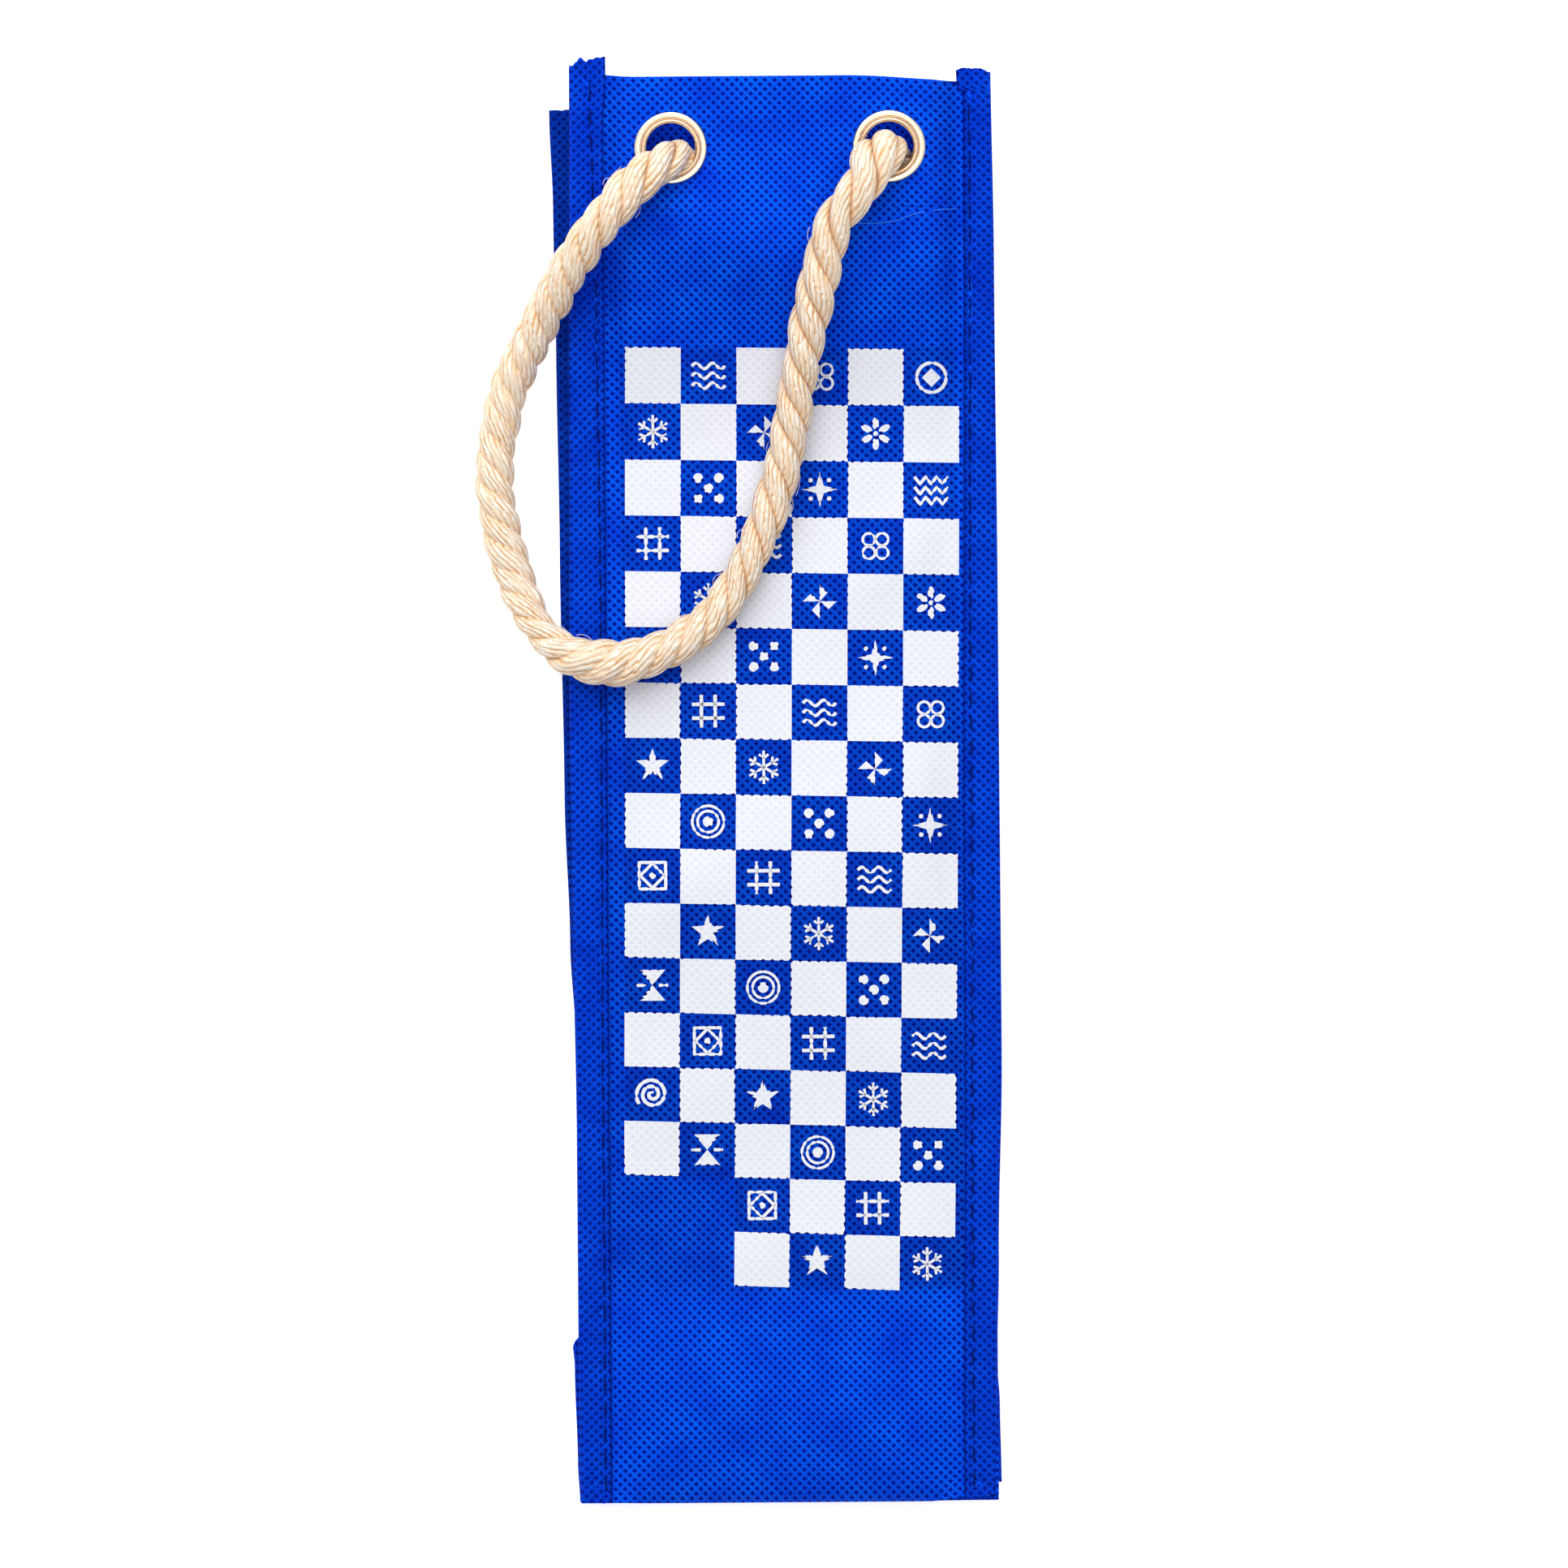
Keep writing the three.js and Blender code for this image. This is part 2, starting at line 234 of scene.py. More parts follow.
def print_tone_and_shade(tree, uv, colour):
    """Darkens the cloth in the print's cells, and paints shade over a broad zone from its foot upward, as
    matched to the photograph.
    """
    across, up = add_node(tree, "SeparateXYZ", {0: uv})[:2]
    left, right = print_point(0, PRINT_ROWS / 2)[0], print_point(PRINT_COLUMNS, PRINT_ROWS / 2)[0]
    top, bottom = print_point(PRINT_COLUMNS / 2, 0)[1], print_point(PRINT_COLUMNS - 2, PRINT_ROWS)[1]
    bare_right, bare_top = print_point(BARE_CELLS, PRINT_ROWS - BARE_CELLS)
    soft = TONE_FADE / 2
    beside_bare = fade_in(tree, across, bare_right - soft, bare_right + soft)
    over_bare = fade_in(tree, up, bare_top - soft, bare_top + soft)
    cells = [
        fade_in(tree, across, left - TONE_FADE, left + soft),
        fade_in(tree, across, right + TONE_FADE, right - soft),
        fade_in(tree, up, bottom - TONE_FADE, bottom + TONE_FADE),
        fade_in(tree, up, top + TONE_FADE, top - TONE_FADE),
        add_node(tree, "Math", {0: beside_bare, 1: over_bare}, operation="MAXIMUM")[0],
    ]
    # Painted shade: the broad zone is darkest low on the print, fading out towards its top.
    shade_zone = [fade_in(tree, up, *SHADE_ZONE_FOOT), fade_in(tree, up, *SHADE_ZONE_TOP)]
    return darken(tree, darken(tree, colour, cells, CELL_TONE), shade_zone, SHADE_ZONE_TONE)


def pressed_cloth(name, ridge_highlight, felt, dot, press, dot_share=1.0, fibre=0.5, edge_shadow=None, finish=None):
    """Spunbond polypropylene: matt fibre felt, welded in small sunk diamonds, with raised ridges between,
    whose tops are lighter in the colour: a painted highlight, stronger along one diagonal.
    """
    material, tree = new_material(name)
    uv = add_node(tree, "UVMap", uv_map="flat_cut")[0]
    place = wandering(tree, uv, 6, (0.006, 0.006))
    turns = [2 * math.pi * UV_UNIT / size for size in DOT_CELL]
    sinks, ridges_and_highlights = [], []
    for sign in (1, -1):
        lattice = {0: place, 1: (turns[0], sign * turns[1], 0)}
        phase = add_node(tree, "VectorMath", lattice, operation="DOT_PRODUCT")[1]
        wave = add_node(tree, "Math", {0: phase}, operation="COSINE")[0]
        dot_edge = {"Value": wave, "From Min": -0.2, "From Max": 0.6}
        sinks.append(add_node(tree, "MapRange", dot_edge, interpolation_type="SMOOTHSTEP")[0])
        crest_edge = {"Value": wave, "From Min": -0.35, "From Max": -1.0}
        ridges_and_highlights.append(add_node(tree, "MapRange", crest_edge, interpolation_type="SMOOTHSTEP")[0])
    sunk = add_node(tree, "Math", {0: sinks[0], 1: sinks[1]}, operation="MULTIPLY")[0]
    # Painted highlight: the ridges are lighter in the colour, those of the second diagonal at 0.6, as if lit
    # from one side; the same ridges make the relief.
    faint = add_node(tree, "Math", {0: ridges_and_highlights[1], 1: 0.6}, operation="MULTIPLY")[0]
    ridge_and_highlight = add_node(tree, "Math", {0: ridges_and_highlights[0], 1: faint}, operation="MAXIMUM")[0]
    fibres = add_node(tree, "TexNoise", {"Vector": uv, "Scale": 420, "Detail": 4, "Roughness": 0.7})[0]
    cloudy = add_node(tree, "TexNoise", {"Vector": uv, "Scale": 9, "Detail": 3})[0]
    grain = add_node(tree, "MapRange", {"Value": fibres, "From Min": 0.3, "From Max": 0.7})[0]
    thick = add_node(tree, "MapRange", {"Value": cloudy, "From Min": 0.2, "From Max": 0.8})[0]
    raised = add_node(tree, "Math", {0: grain, 1: fibre, 2: ridge_and_highlight}, operation="MULTIPLY_ADD")[0]
    tone = add_node(tree, "Math", {0: raised, 1: thick}, operation="MULTIPLY", use_clamp=True)[0]
    fluffy = add_node(tree, "Mix", {0: tone, 6: linear(felt), 7: linear(ridge_highlight)}, data_type="RGBA")[2]
    weld = add_node(tree, "Math", {0: sunk, 1: dot_share}, operation="MULTIPLY")[0]
    colour = add_node(tree, "Mix", {0: weld, 6: fluffy, 7: linear(dot)}, data_type="RGBA")[2]
    if edge_shadow:
        # Painted shadow: a thin dark line along the tape's inner edge, where the tape stands over the panel
        # below it.
        from_edge = add_node(tree, "SeparateXYZ", {0: uv})[0]
        start, end = [distance / UV_UNIT for distance in edge_shadow]
        edge = {"Value": from_edge, "From Min": start, "From Max": end, "To Min": 0.4}
        out_of_edge_shadow = add_node(tree, "MapRange", edge)[0]
        colour = add_node(tree, "Mix", {0: out_of_edge_shadow, 6: linear(dot), 7: colour}, data_type="RGBA")[2]
    if finish:
        colour = finish(tree, uv, colour)
    rise = add_node(tree, "Math", {0: ridge_and_highlight, 1: sunk}, operation="SUBTRACT")[0]
    relief = add_node(tree, "Math", {0: grain, 1: 0.3, 2: rise}, operation="MULTIPLY_ADD")[0]
    bump = add_node(tree, "Bump", {"Height": relief, "Strength": 1.0, "Distance": press * MM})[0]
    skin = add_node(tree, "BsdfPrincipled", {
        "Base Color": colour, "Normal": bump, "Roughness": 0.6, "Specular IOR Level": 0.03,
    })[0]
    add_node(tree, "OutputMaterial", {"Surface": skin})
    return material


def gold_plate(name):
    """Steel eyelet with a pale gold plating: a polished, slightly clouded metal."""
    material, tree = new_material(name)
    place = add_node(tree, "TexCoord")["Object"]
    cloudy = add_node(tree, "TexNoise", {"Vector": place, "Scale": 160, "Detail": 2})[0]
    gloss = add_node(tree, "MapRange", {"Value": cloudy, "To Min": 0.14, "To Max": 0.2})[0]
    tone = add_node(tree, "Mix", {0: cloudy, 6: linear("#FBE3BC"), 7: linear("#FFF3DC")}, data_type="RGBA")[2]
    skin = add_node(tree, "BsdfPrincipled", {"Base Color": tone, "Metallic": 1.0, "Roughness": gloss})[0]
    add_node(tree, "OutputMaterial", {"Surface": skin})
    return material


def cotton(name, light, middle, shade, valley_shade):
    """Natural cotton: soft yarns lie side by side round each strand. Its colour holds painted light and
    shade: lightest on the strands' tops, tan down their sides and in the gaps between some yarns, dark in the
    valleys between strands.
    """
    material, tree = new_material(name)
    uv = add_node(tree, "UVMap", uv_map="flat_cut")[0]
    place = wandering(tree, uv, 9, (0.035, 0.02))
    slant = -UV_UNIT / YARN_PITCH
    number = add_node(tree, "VectorMath", {0: place, 1: (1, slant, 0)}, operation="DOT_PRODUCT")[1]
    turned = add_node(tree, "Math", {0: number, 1: 2 * math.pi * YARNS_IN_STRAND}, operation="MULTIPLY")[0]
    wave = add_node(tree, "Math", {0: turned}, operation="COSINE")[0]
    run = add_node(tree, "SeparateXYZ", {0: uv})[1]
    across = add_node(tree, "Math", {0: number, 1: 34.0}, operation="MULTIPLY")[0]
    onward = add_node(tree, "Math", {0: run, 1: 26.0}, operation="MULTIPLY")[0]
    streaky = add_node(tree, "CombineXYZ", {0: across, 1: onward, 2: 0.0})[0]
    streaks = add_node(tree, "TexNoise", {"Vector": streaky, "Scale": 1.0, "Detail": 3, "Roughness": 0.6})[0]
    fluff = add_node(tree, "TexNoise", {"Vector": uv, "Scale": 90, "Detail": 4, "Roughness": 0.7})[0]
    body = add_node(tree, "MapRange", {"Value": streaks, "From Min": 0.32, "From Max": 0.6})[0]
    # Painted light and shade from the crown: the strands' tops are lighter, their sides tan, and the valleys
    # between strands painted dark.
    crown = add_node(tree, "Attribute", attribute_name="crown")[2]
    lit = add_node(tree, "Math", {0: body, 1: crown}, operation="MULTIPLY")[0]
    top = add_node(tree, "Mix", {0: lit, 6: linear(middle), 7: linear(light)}, data_type="RGBA")[2]
    # Painted shade: tan in the gaps between yarns, where the streaks leave them open.
    gap = add_node(tree, "MapRange", {"Value": wave, "From Min": -0.35, "From Max": -0.95})[0]
    open_gap = add_node(tree, "MapRange", {"Value": streaks, "From Min": 0.68, "From Max": 0.38})[0]
    gap_shade = add_node(tree, "Math", {0: gap, 1: open_gap}, operation="MULTIPLY")[0]
    yarns = add_node(tree, "Mix", {0: gap_shade, 6: top, 7: linear(shade)}, data_type="RGBA")[2]
    clear = add_node(tree, "MapRange", {"Value": crown, "From Max": 0.6})[0]
    colour = add_node(tree, "Mix", {0: clear, 6: linear(valley_shade), 7: yarns}, data_type="RGBA")[2]
    rise = add_node(tree, "Math", {0: fluff, 1: 0.2, 2: wave}, operation="MULTIPLY_ADD")[0]
    relief = add_node(tree, "Math", {0: streaks, 1: 1.2, 2: rise}, operation="MULTIPLY_ADD")[0]
    bump = add_node(tree, "Bump", {"Height": relief, "Strength": 1.0, "Distance": 0.13 * MM})[0]
    skin = add_node(tree, "BsdfPrincipled", {
        "Base Color": colour, "Normal": bump, "Roughness": 0.92, "Specular IOR Level": 0.2,
        "Sheen Weight": 0.1,
    })[0]
    add_node(tree, "OutputMaterial", {"Surface": skin})
    return material


def plain_thread(name, colour, deep):
    """Spun polyester sewing thread: matt, with a fine twist that only shades it."""
    material, tree = new_material(name)
    place = add_node(tree, "TexCoord")["Object"]
    twist = add_node(tree, "TexNoise", {"Vector": place, "Scale": 2600, "Detail": 2})[0]
    tone = add_node(tree, "Mix", {0: twist, 6: linear(deep), 7: linear(colour)}, data_type="RGBA")[2]
    skin = add_node(tree, "BsdfPrincipled", {
        "Base Color": tone, "Roughness": 0.7, "Specular IOR Level": 0.08,
    })[0]
    add_node(tree, "OutputMaterial", {"Surface": skin})
    return material


# Rope: three strands laid to the left, each of soft yarns that run along the rope
ROPE_DIAMETER = 8.4
STRANDS = 3
STRAND_RADIUS = 2.15
LAY_STOPS = [(0, 24), (50, 23), (90, 19.5), (170, 21), (230, 26), (340, 28)]
STRAND_CENTRE = ROPE_DIAMETER / 2 - STRAND_RADIUS
STRAND_SIDES = 40
ROPE_STEP = 0.85
YARNS_IN_STRAND = 12
YARN_PITCH = 19.0
FIBRE_COUNT = 110
FIBRE_RADIUS = 0.06
FIBRE_SIDES = 4
FIBRE_SEED = 11

# How deep the dots are pressed into cloth, and how little they show through the ink
PRESS = 0.12
INK_PRESS = 0.025
# Blues of the outer cloth: the painted ridge highlight, the felt and the welded dots
OUTER_BLUES = ("#0066FF", "#0036D8", "#001084")

CLOTH = pressed_cloth("pressed_polypropylene_felt", *OUTER_BLUES, PRESS)
PRINTED_CLOTH = pressed_cloth("screen_printed_felt_with_painted_shade", *OUTER_BLUES, PRESS, finish=print_tone_and_shade)
# The plies under the front: a darker copy of the same felt, painted shade.
SHADED_INNER_CLOTH = pressed_cloth("pressed_felt_inside_in_painted_shade", "#0054F2", "#0032CA", "#00127A", PRESS)
# The tapes carry a painted shadow line along their inner edge.
TAPE = pressed_cloth("polypropylene_binding_tape", "#004EE6", "#002ABC", "#000C6C", PRESS, 0.8, 0.8,
                     edge_shadow=(0.95, 1.35))
# The back's tapes: a darker copy of the tape, painted shade where they lie below and beside the front.
SHADED_BACK_TAPE = pressed_cloth("binding_tape_of_the_back_in_painted_shade", "#0040BA", "#002290", "#000A54", PRESS,
                          0.8, 0.8)
INK = pressed_cloth("white_screen_print_ink", "#EBEDF3", "#E6E8F0", "#D9DCEB", INK_PRESS, 0.8)
GOLD = gold_plate("pale_gold_plated_steel")
# The rope's cotton, with its painted light and shade on the strands
COTTON = cotton("natural_cotton_rope", "#FFF9EC", "#FBCC96", "#D89E62", "#9A5822")
SEAM_THREAD = plain_thread("navy_sewing_thread", "#001C84", "#000C48")
LOOSE_THREAD = plain_thread("pale_blue_sewing_thread", "#3D8BFF", "#1E68E8")


def deselect():
    bpy.ops.object.select_all(action="DESELECT")


def make_active(piece):
    deselect()
    piece.select_set(True)
    bpy.context.view_layer.objects.active = piece


def apply_modifiers(piece):
    make_active(piece)
    for modifier in list(piece.modifiers):
        bpy.ops.object.modifier_apply(modifier=modifier.name)


def join(pieces):
    """Joins separate meshes into the first of them."""
    deselect()
    for piece in pieces:
        piece.select_set(True)
    bpy.context.view_layer.objects.active = pieces[0]
    bpy.ops.object.join()
    return pieces[0]


def finish_piece(piece, name, material, body, nodes=(), smooth=40):
    """Names a finished piece, gives it its finish and sets it on its CAD body in place of CAD nodes."""
    piece.name = name
    piece.data.name = name
    piece.data.materials.clear()
    piece.data.materials.append(material)
    make_active(piece)
    bpy.ops.object.shade_smooth_by_angle(angle=math.radians(smooth))
    if body:
        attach(piece, body)
    if nodes:
        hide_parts(*nodes)
    return piece


def name_flat_cut(mesh, flat_of):
    """Writes the piece's flat cut as its UV map: flat_of gives each vertex's place on it, in millimetres."""
    while mesh.uv_layers:
        mesh.uv_layers.remove(mesh.uv_layers[0])
    layer = mesh.uv_layers.new(name="flat_cut")
    for loop in mesh.loops:
        u, v = flat_of[loop.vertex_index]
        layer.data[loop.index].uv = (u / UV_UNIT, v / UV_UNIT)


def round_off_holes(piece, hole_y):
    """Opens the two eyelet holes of a panel and draws the cloth round them on to their circles."""
    shape = bmesh.new()
    shape.from_mesh(piece.data)
    centres = [row_point(side * EYELET_X, hole_y, 0) for side in (-1, 1)]

    def spoke_of(corner):
        centre = min(centres, key=lambda spot: abs(spot.x - corner.co.x))
        return centre, (corner.co - centre).to_2d()

    inside = {corner for corner in shape.verts if spoke_of(corner)[1].length < CUT_RADIUS * MM}
    gone = {face for face in shape.faces if all(corner in inside for corner in face.verts)}
    for corner in inside:
        if any(face not in gone for face in corner.link_faces):
            centre, spoke = spoke_of(corner)
            corner.co.xy = centre.to_2d() + spoke.normalized() * CUT_RADIUS * MM
    bmesh.ops.delete(shape, geom=list(gone), context="FACES")
    shape.to_mesh(piece.data)
    shape.free()


def mesh_object(name, points, faces):
    """A new object in the scene, from points in metres."""
    mesh = bpy.data.meshes.new(name)
    mesh.from_pydata(points, [], faces)
    piece = bpy.data.objects.new(name, mesh)
    bpy.context.scene.collection.objects.link(piece)
    return piece


def cloth_grid(columns, rows, place):
    """A cloth from a grid: place turns two shares, 0 to 1, into a point and its spot on the flat cut."""
    deselect()
    bpy.ops.mesh.primitive_grid_add(x_subdivisions=columns, y_subdivisions=rows, size=1)
    piece = bpy.context.object
    flat_of = {}
    for vertex in piece.data.vertices:
        across = round((vertex.co.x + 0.5) * columns) / columns
        up = round((vertex.co.y + 0.5) * rows) / rows
        point, flat_of[vertex.index] = place(across, up)
        vertex.co = row_point(*point)
    name_flat_cut(piece.data, flat_of)
    return piece


def thicken(piece, thickness=PLY):
    solid = piece.modifiers.new("ply", "SOLIDIFY")
    solid.thickness = thickness * MM
    solid.offset = 0
    apply_modifiers(piece)
    return piece


def straight(value):
    """An edge or a height that stays the same all along the bag."""
    return lambda y: value


def tape_line(stops):
    """An edge that runs smoothly through (y, value) stops."""
    return lambda y: along(stops, y)


# How far the cloth is held flat round an eyelet and along a side seam
EYELET_CLAMP = 6
SEAM_CLAMP = 12

# Gentle swells of the cloth: middle x and y, reach across and along, turn in degrees, height
FRONT_SWELLS = [
    (-6, 309, 22, 9, -14, 4.2),
    (0, 337, 12, 8, 0, -0.8),
    (-2, 148, 44, 20, 6, 2.6),
    (30, 178, 18, 12, 30, 1.4),
    (-24, 152, 13, 7, 35, 1.3),
    (10, 20, 40, 13, -12, 3.2),
    (-36, 262, 8, 22, 0, 0.9),
    (32, 255, 12, 26, 0, 0.8),
    (26, 230, 14, 7, 35, 1.4),
    (4, 60, 30, 9, 4, 1.2),
    (-26, 100, 16, 9, 20, 0.9),
    (26, 112, 15, 8, -25, 0.9),
]
BACK_SWELLS = [(6, 150, 30, 50, 0, -1.0), (-10, 250, 26, 22, 20, -0.8)]


def swell(swells, x, y):
    """The height of all the swells at a point."""
    total = 0
    for x0, y0, reach_x, reach_y, turn, height in swells:
        c, s = math.cos(math.radians(turn)), math.sin(math.radians(turn))
        u = (c * (x - x0) + s * (y - y0)) / reach_x
        v = (-s * (x - x0) + c * (y - y0)) / reach_y
        total += height * math.exp(-0.5 * (u * u + v * v))
    return total


def mouth_share(y):
    """0 in the flat part of the bag, 1 where its mouth stands up over the knots."""
    return ease((y - PLATEAU_START + RISE_LENGTH) / RISE_LENGTH)


def plateau(x):
    """0 at the side seams, 1 across the flat top of the raised mouth."""
    return ease((HALF_WIDTH - abs(x)) / (HALF_WIDTH - PLATEAU_HALF))


def near_eyelet(x, y, eyelet_y):
    """1 where the cloth is clamped flat in an eyelet, falling to 0 a few millimetres out."""
    reach = min(math.hypot(x - side * EYELET_X, y - eyelet_y) for side in (-1, 1))
    return 1 - ease((reach - EYELET_RIM) / EYELET_CLAMP)


def seam_share(x):
    """0 at the side seams, 1 well inside the panel."""
    return ease((HALF_WIDTH - abs(x)) / SEAM_CLAMP)


def front_height(x, y):
    """Height of the middle of the front's ply."""
    mouth = mouth_share(y)
    raised = TAPE_LIFT + (FRONT_RISE - TAPE_LIFT) * plateau(x)
    soft = swell(FRONT_SWELLS, x, y) * seam_share(x) * (1 - near_eyelet(x, y, FRONT_EYELET_Y))
    crease = -SEAM_DENT * math.exp(-((y - HEM_SEAM) / SEAM_DENT_REACH) ** 2) * seam_share(x)
    return LEVELS["front"] * STEP + PLY / 2 + mouth * raised + soft + crease


def back_height(x, y):
    """Height of the middle of the back's ply."""
    sunk = BACK_SINK * mouth_share(y) * plateau(x)
    soft = swell(BACK_SWELLS, x, y) * seam_share(x) * (1 - near_eyelet(x, y, BACK_EYELET_Y))
    return LEVELS["back"] * STEP + PLY / 2 - sunk + soft


FOLD_RADIUS = STEP / 2
FOLD_ROWS = 6
HEM_ROWS = 22
# The cut edges stray from straight over these heights below the mouth and above the foot
MOUTH_SKEW = 60
FOOT_SKEW = 12


def top_edge(x):
    """How far the front's mouth drops towards its right corner, and rises into its left one."""
    return 0.4 - 1.5 * ease((x - 16) / 30) + 0.8 * ease((-x - 36) / 8)


def bottom_edge(x):
    """How far the front's bottom edge rises towards its right corner."""
    return 1.4 * ease((x - 34) / 14)


def hemmed_panel(columns, rows, bottom, top, height, hem_side, edge_of, hole_y):
    """A panel with its top edge turned in: up the panel, over a tight fold, and down the hem inside."""
    fold_start = top - FOLD_RADIUS
    total = rows + FOLD_ROWS + HEM_ROWS
    fold_length = math.pi * FOLD_RADIUS

    def place(across, up):
        row = round(up * total)
        x = (across * 2 - 1) * CLOTH_EDGE
        if row <= rows:
            y = bottom + (fold_start - bottom) * row / rows
            lift, cut, half_turn = 0, y, 0
        elif row <= rows + FOLD_ROWS:
            half_turn = (row - rows) / FOLD_ROWS
            y = fold_start + FOLD_RADIUS * math.sin(math.pi * half_turn)
            lift = hem_side * FOLD_RADIUS * (1 - math.cos(math.pi * half_turn))
            cut = fold_start + fold_length * half_turn
        else:
            down = (row - rows - FOLD_ROWS) / HEM_ROWS
            y = fold_start - HEM_DEPTH * down
            cut = fold_start + fold_length + HEM_DEPTH * down
            lift, half_turn = hem_side * 2 * FOLD_RADIUS, 1
        x *= 1 - (1 - HEM_HALF / CLOTH_EDGE) * ease((half_turn - 0.4) / 0.6)
        shift = edge_of(x) * ease((y - top + MOUTH_SKEW) / MOUTH_SKEW)
        return (x, y + shift, height(x, y) + lift), (x, cut)

    panel = cloth_grid(columns, total, place)
    round_off_holes(panel, hole_y)
    return thicken(panel)


# The bottom fold: the front's edge and the base's both curl in, this far up and this deep
CURL_REACH = 9
FRONT_CURL = 3
BASE_CURL = 2.8


def curl(x, y, drop):
    """How far a panel's bottom edge turns in towards the fold that front and base share."""
    share = min(1, max(0, (CURL_REACH - y) / CURL_REACH))
    return drop * (1 - math.sqrt(1 - share * share)) * (1 - ease((abs(x) - 30) / 12))


def front_cloth_height(x, y):
    return front_height(x, y) - curl(x, y, FRONT_CURL)


front_cloth = hemmed_panel(96, 236, 0, BAG_HEIGHT, front_cloth_height, -1, top_edge, FRONT_EYELET_Y)
for vertex in front_cloth.data.vertices:
    spot = SEAT.inverted() @ vertex.co / MM
    vertex.co.y += bottom_edge(spot.x) * (1 - ease(spot.y / FOOT_SKEW)) * MM
finish_piece(front_cloth, "front_cloth", PRINTED_CLOTH, "front", ["front_panel"])

CREASE_Y = GUSSET_HALF + 0.05
back_cloth = hemmed_panel(70, 140, CREASE_Y, BACK_TOP, back_height, 1, straight(0), BACK_EYELET_Y)
finish_piece(back_cloth, "back_cloth", CLOTH, "back", ["back_panel"])


# The grid of a flat ply: its columns, and about how high a row is
FLAT_COLUMNS = 14
FLAT_ROW = 5


def flat_ply(name, body, node, level, bottom, top, left, right, height=None, cut_lines=()):
    """A flat ply between two edges that follow y, with rows where its outline turns."""
    stops = sorted({bottom, top, *cut_lines})
    heights = []
    for low, high in zip(stops, stops[1:]):
        count = max(1, round((high - low) / FLAT_ROW))
        heights += [low + (high - low) * i / count for i in range(count)]
    heights.append(top)
    rows = len(heights) - 1
    floor = LEVELS[level] * STEP + PLY / 2

    def place(across, up):
        y = heights[round(up * rows)]
        x = left(y) + (right(y) - left(y)) * across
        return (x, y, floor + (height(x, y) if height else 0)), (x, y)

    piece = thicken(cloth_grid(FLAT_COLUMNS, rows, place))
    return finish_piece(piece, name, SHADED_INNER_CLOTH, body, [node])


FOLD_Y = BASE_DEPTH - 0.05
whole_width = (straight(-CLOTH_EDGE), straight(CLOTH_EDGE))
flat_ply("back_lower_cloth", "back_lower", "back_lower_panel", "back_lower", CREASE_Y, FOLD_Y, *whole_width)
flat_ply("base_cloth", "base", "base_panel", "base", 0, FOLD_Y, *whole_width,
         height=lambda x, y: curl(x, y, BASE_CURL))

# Gussets, as distances from the bag's middle
CREASE_X = HALF_WIDTH - GUSSET_HALF
SEAM_X = HALF_WIDTH - 0.05
# Near the mouth the front half runs on by this much under the tape, up to the front of the open bag
SEAM_ALLOWANCE = 3.7
# A base triangle reaches past the gusset's slanted edges, so that it closes the corner of the open bag
FRONT_TUCK = 1.5
REAR_TUCK = 2.9


def gusset_lift(x, y):
    """Near the mouth the front half of a gusset rises with the side seam of the front."""
    rise = TAPE_LIFT * 0.8 * mouth_share(y) * ease((abs(x) - 30) / 14)
    return rise - 0.55 * ease(abs(x) - HALF_WIDTH)


def slant(y):
    """The inner edge of a gusset's half: its crease, and below it the slanted fold of the corner."""
    return max(CREASE_X + 0.03, HALF_WIDTH - y + 0.02)


def long_seam(y):
    return SEAM_X + SEAM_ALLOWANCE * max(0, mouth_share(y) - 0.2) / 0.8


def triangle_edge(y):
    """The two slanted edges of a base triangle, which meet in its tip."""
    return HALF_WIDTH - min(y + FRONT_TUCK, BASE_DEPTH - y + REAR_TUCK)


def edges_on(side, inner, outer):
    """The left and the right edge of a ply on one side of the bag."""
    edges = [lambda y: side * inner(y), lambda y: side * outer(y)]
    return edges if side > 0 else edges[::-1]


for side_name, side in (("left", -1), ("right", 1)):
    for half, lift, outer_edge in (("rear", None, straight(SEAM_X)), ("front", gusset_lift, long_seam)):
        node = f"{side_name}_gusset_{half}"
        flat_ply(f"{side_name}_{half}_gusset_cloth", node, node, f"gusset_{half}", 1.2, GUSSET_TOP,
                 *edges_on(side, slant, outer_edge), height=lift, cut_lines=(GUSSET_HALF - 0.03,))
    node = f"{side_name}_base_triangle"
    flat_ply(f"{side_name}_triangle_cloth", node, node, "triangle", 2, BASE_DEPTH - 2,
             *edges_on(side, triangle_edge, straight(SEAM_X - STEP)),
             cut_lines=(GUSSET_HALF + (REAR_TUCK - FRONT_TUCK) / 2,))

# Binding tapes: heights of their upper and lower runs over the seam's level, and the grid across them
TAPE_TOP_Z = STEP + PLY / 2
TAPE_LOW_Z = -STEP + PLY / 2
TAPE_ROW = 1.2
TAPE_ACROSS = 14
TAPE_WRAP = 5
TAPE_UNDER = 5
# No inner run of a tape reaches further in, so that the gussets can stand up beside it
TAPE_CLEAR = 44.8
STITCH_PITCH = 6.0
STITCH_SHARE = 0.8
TORN_ROWS = 5
# How deep a tape sinks along its stitches, how high it puckers beside them, and how full its edges are
TAPE_GROOVE = 0.75
TAPE_PUCKER = 0.2
TAPE_FULLNESS = 0.25
TAPE_ROLL = 0.3
# How far each of these reaches, and how far out the edges are fullest
GROOVE_REACH = 0.8
PUCKER_REACH = 2.2
FULL_REACH = 1.6
ROLL_REACH = 0.7
FULL_X = 50
# Where the tape's own lattice of dots starts on its flat cut
TAPE_DOTS = (0.9, 0.6)
SEAM_THREAD_WIDTH = 0.5
# How far the back's left tape hangs down, and the height of the waves in the front's tapes
TAPE_DROOP = 1.9
TAPE_WAVES = 0.25

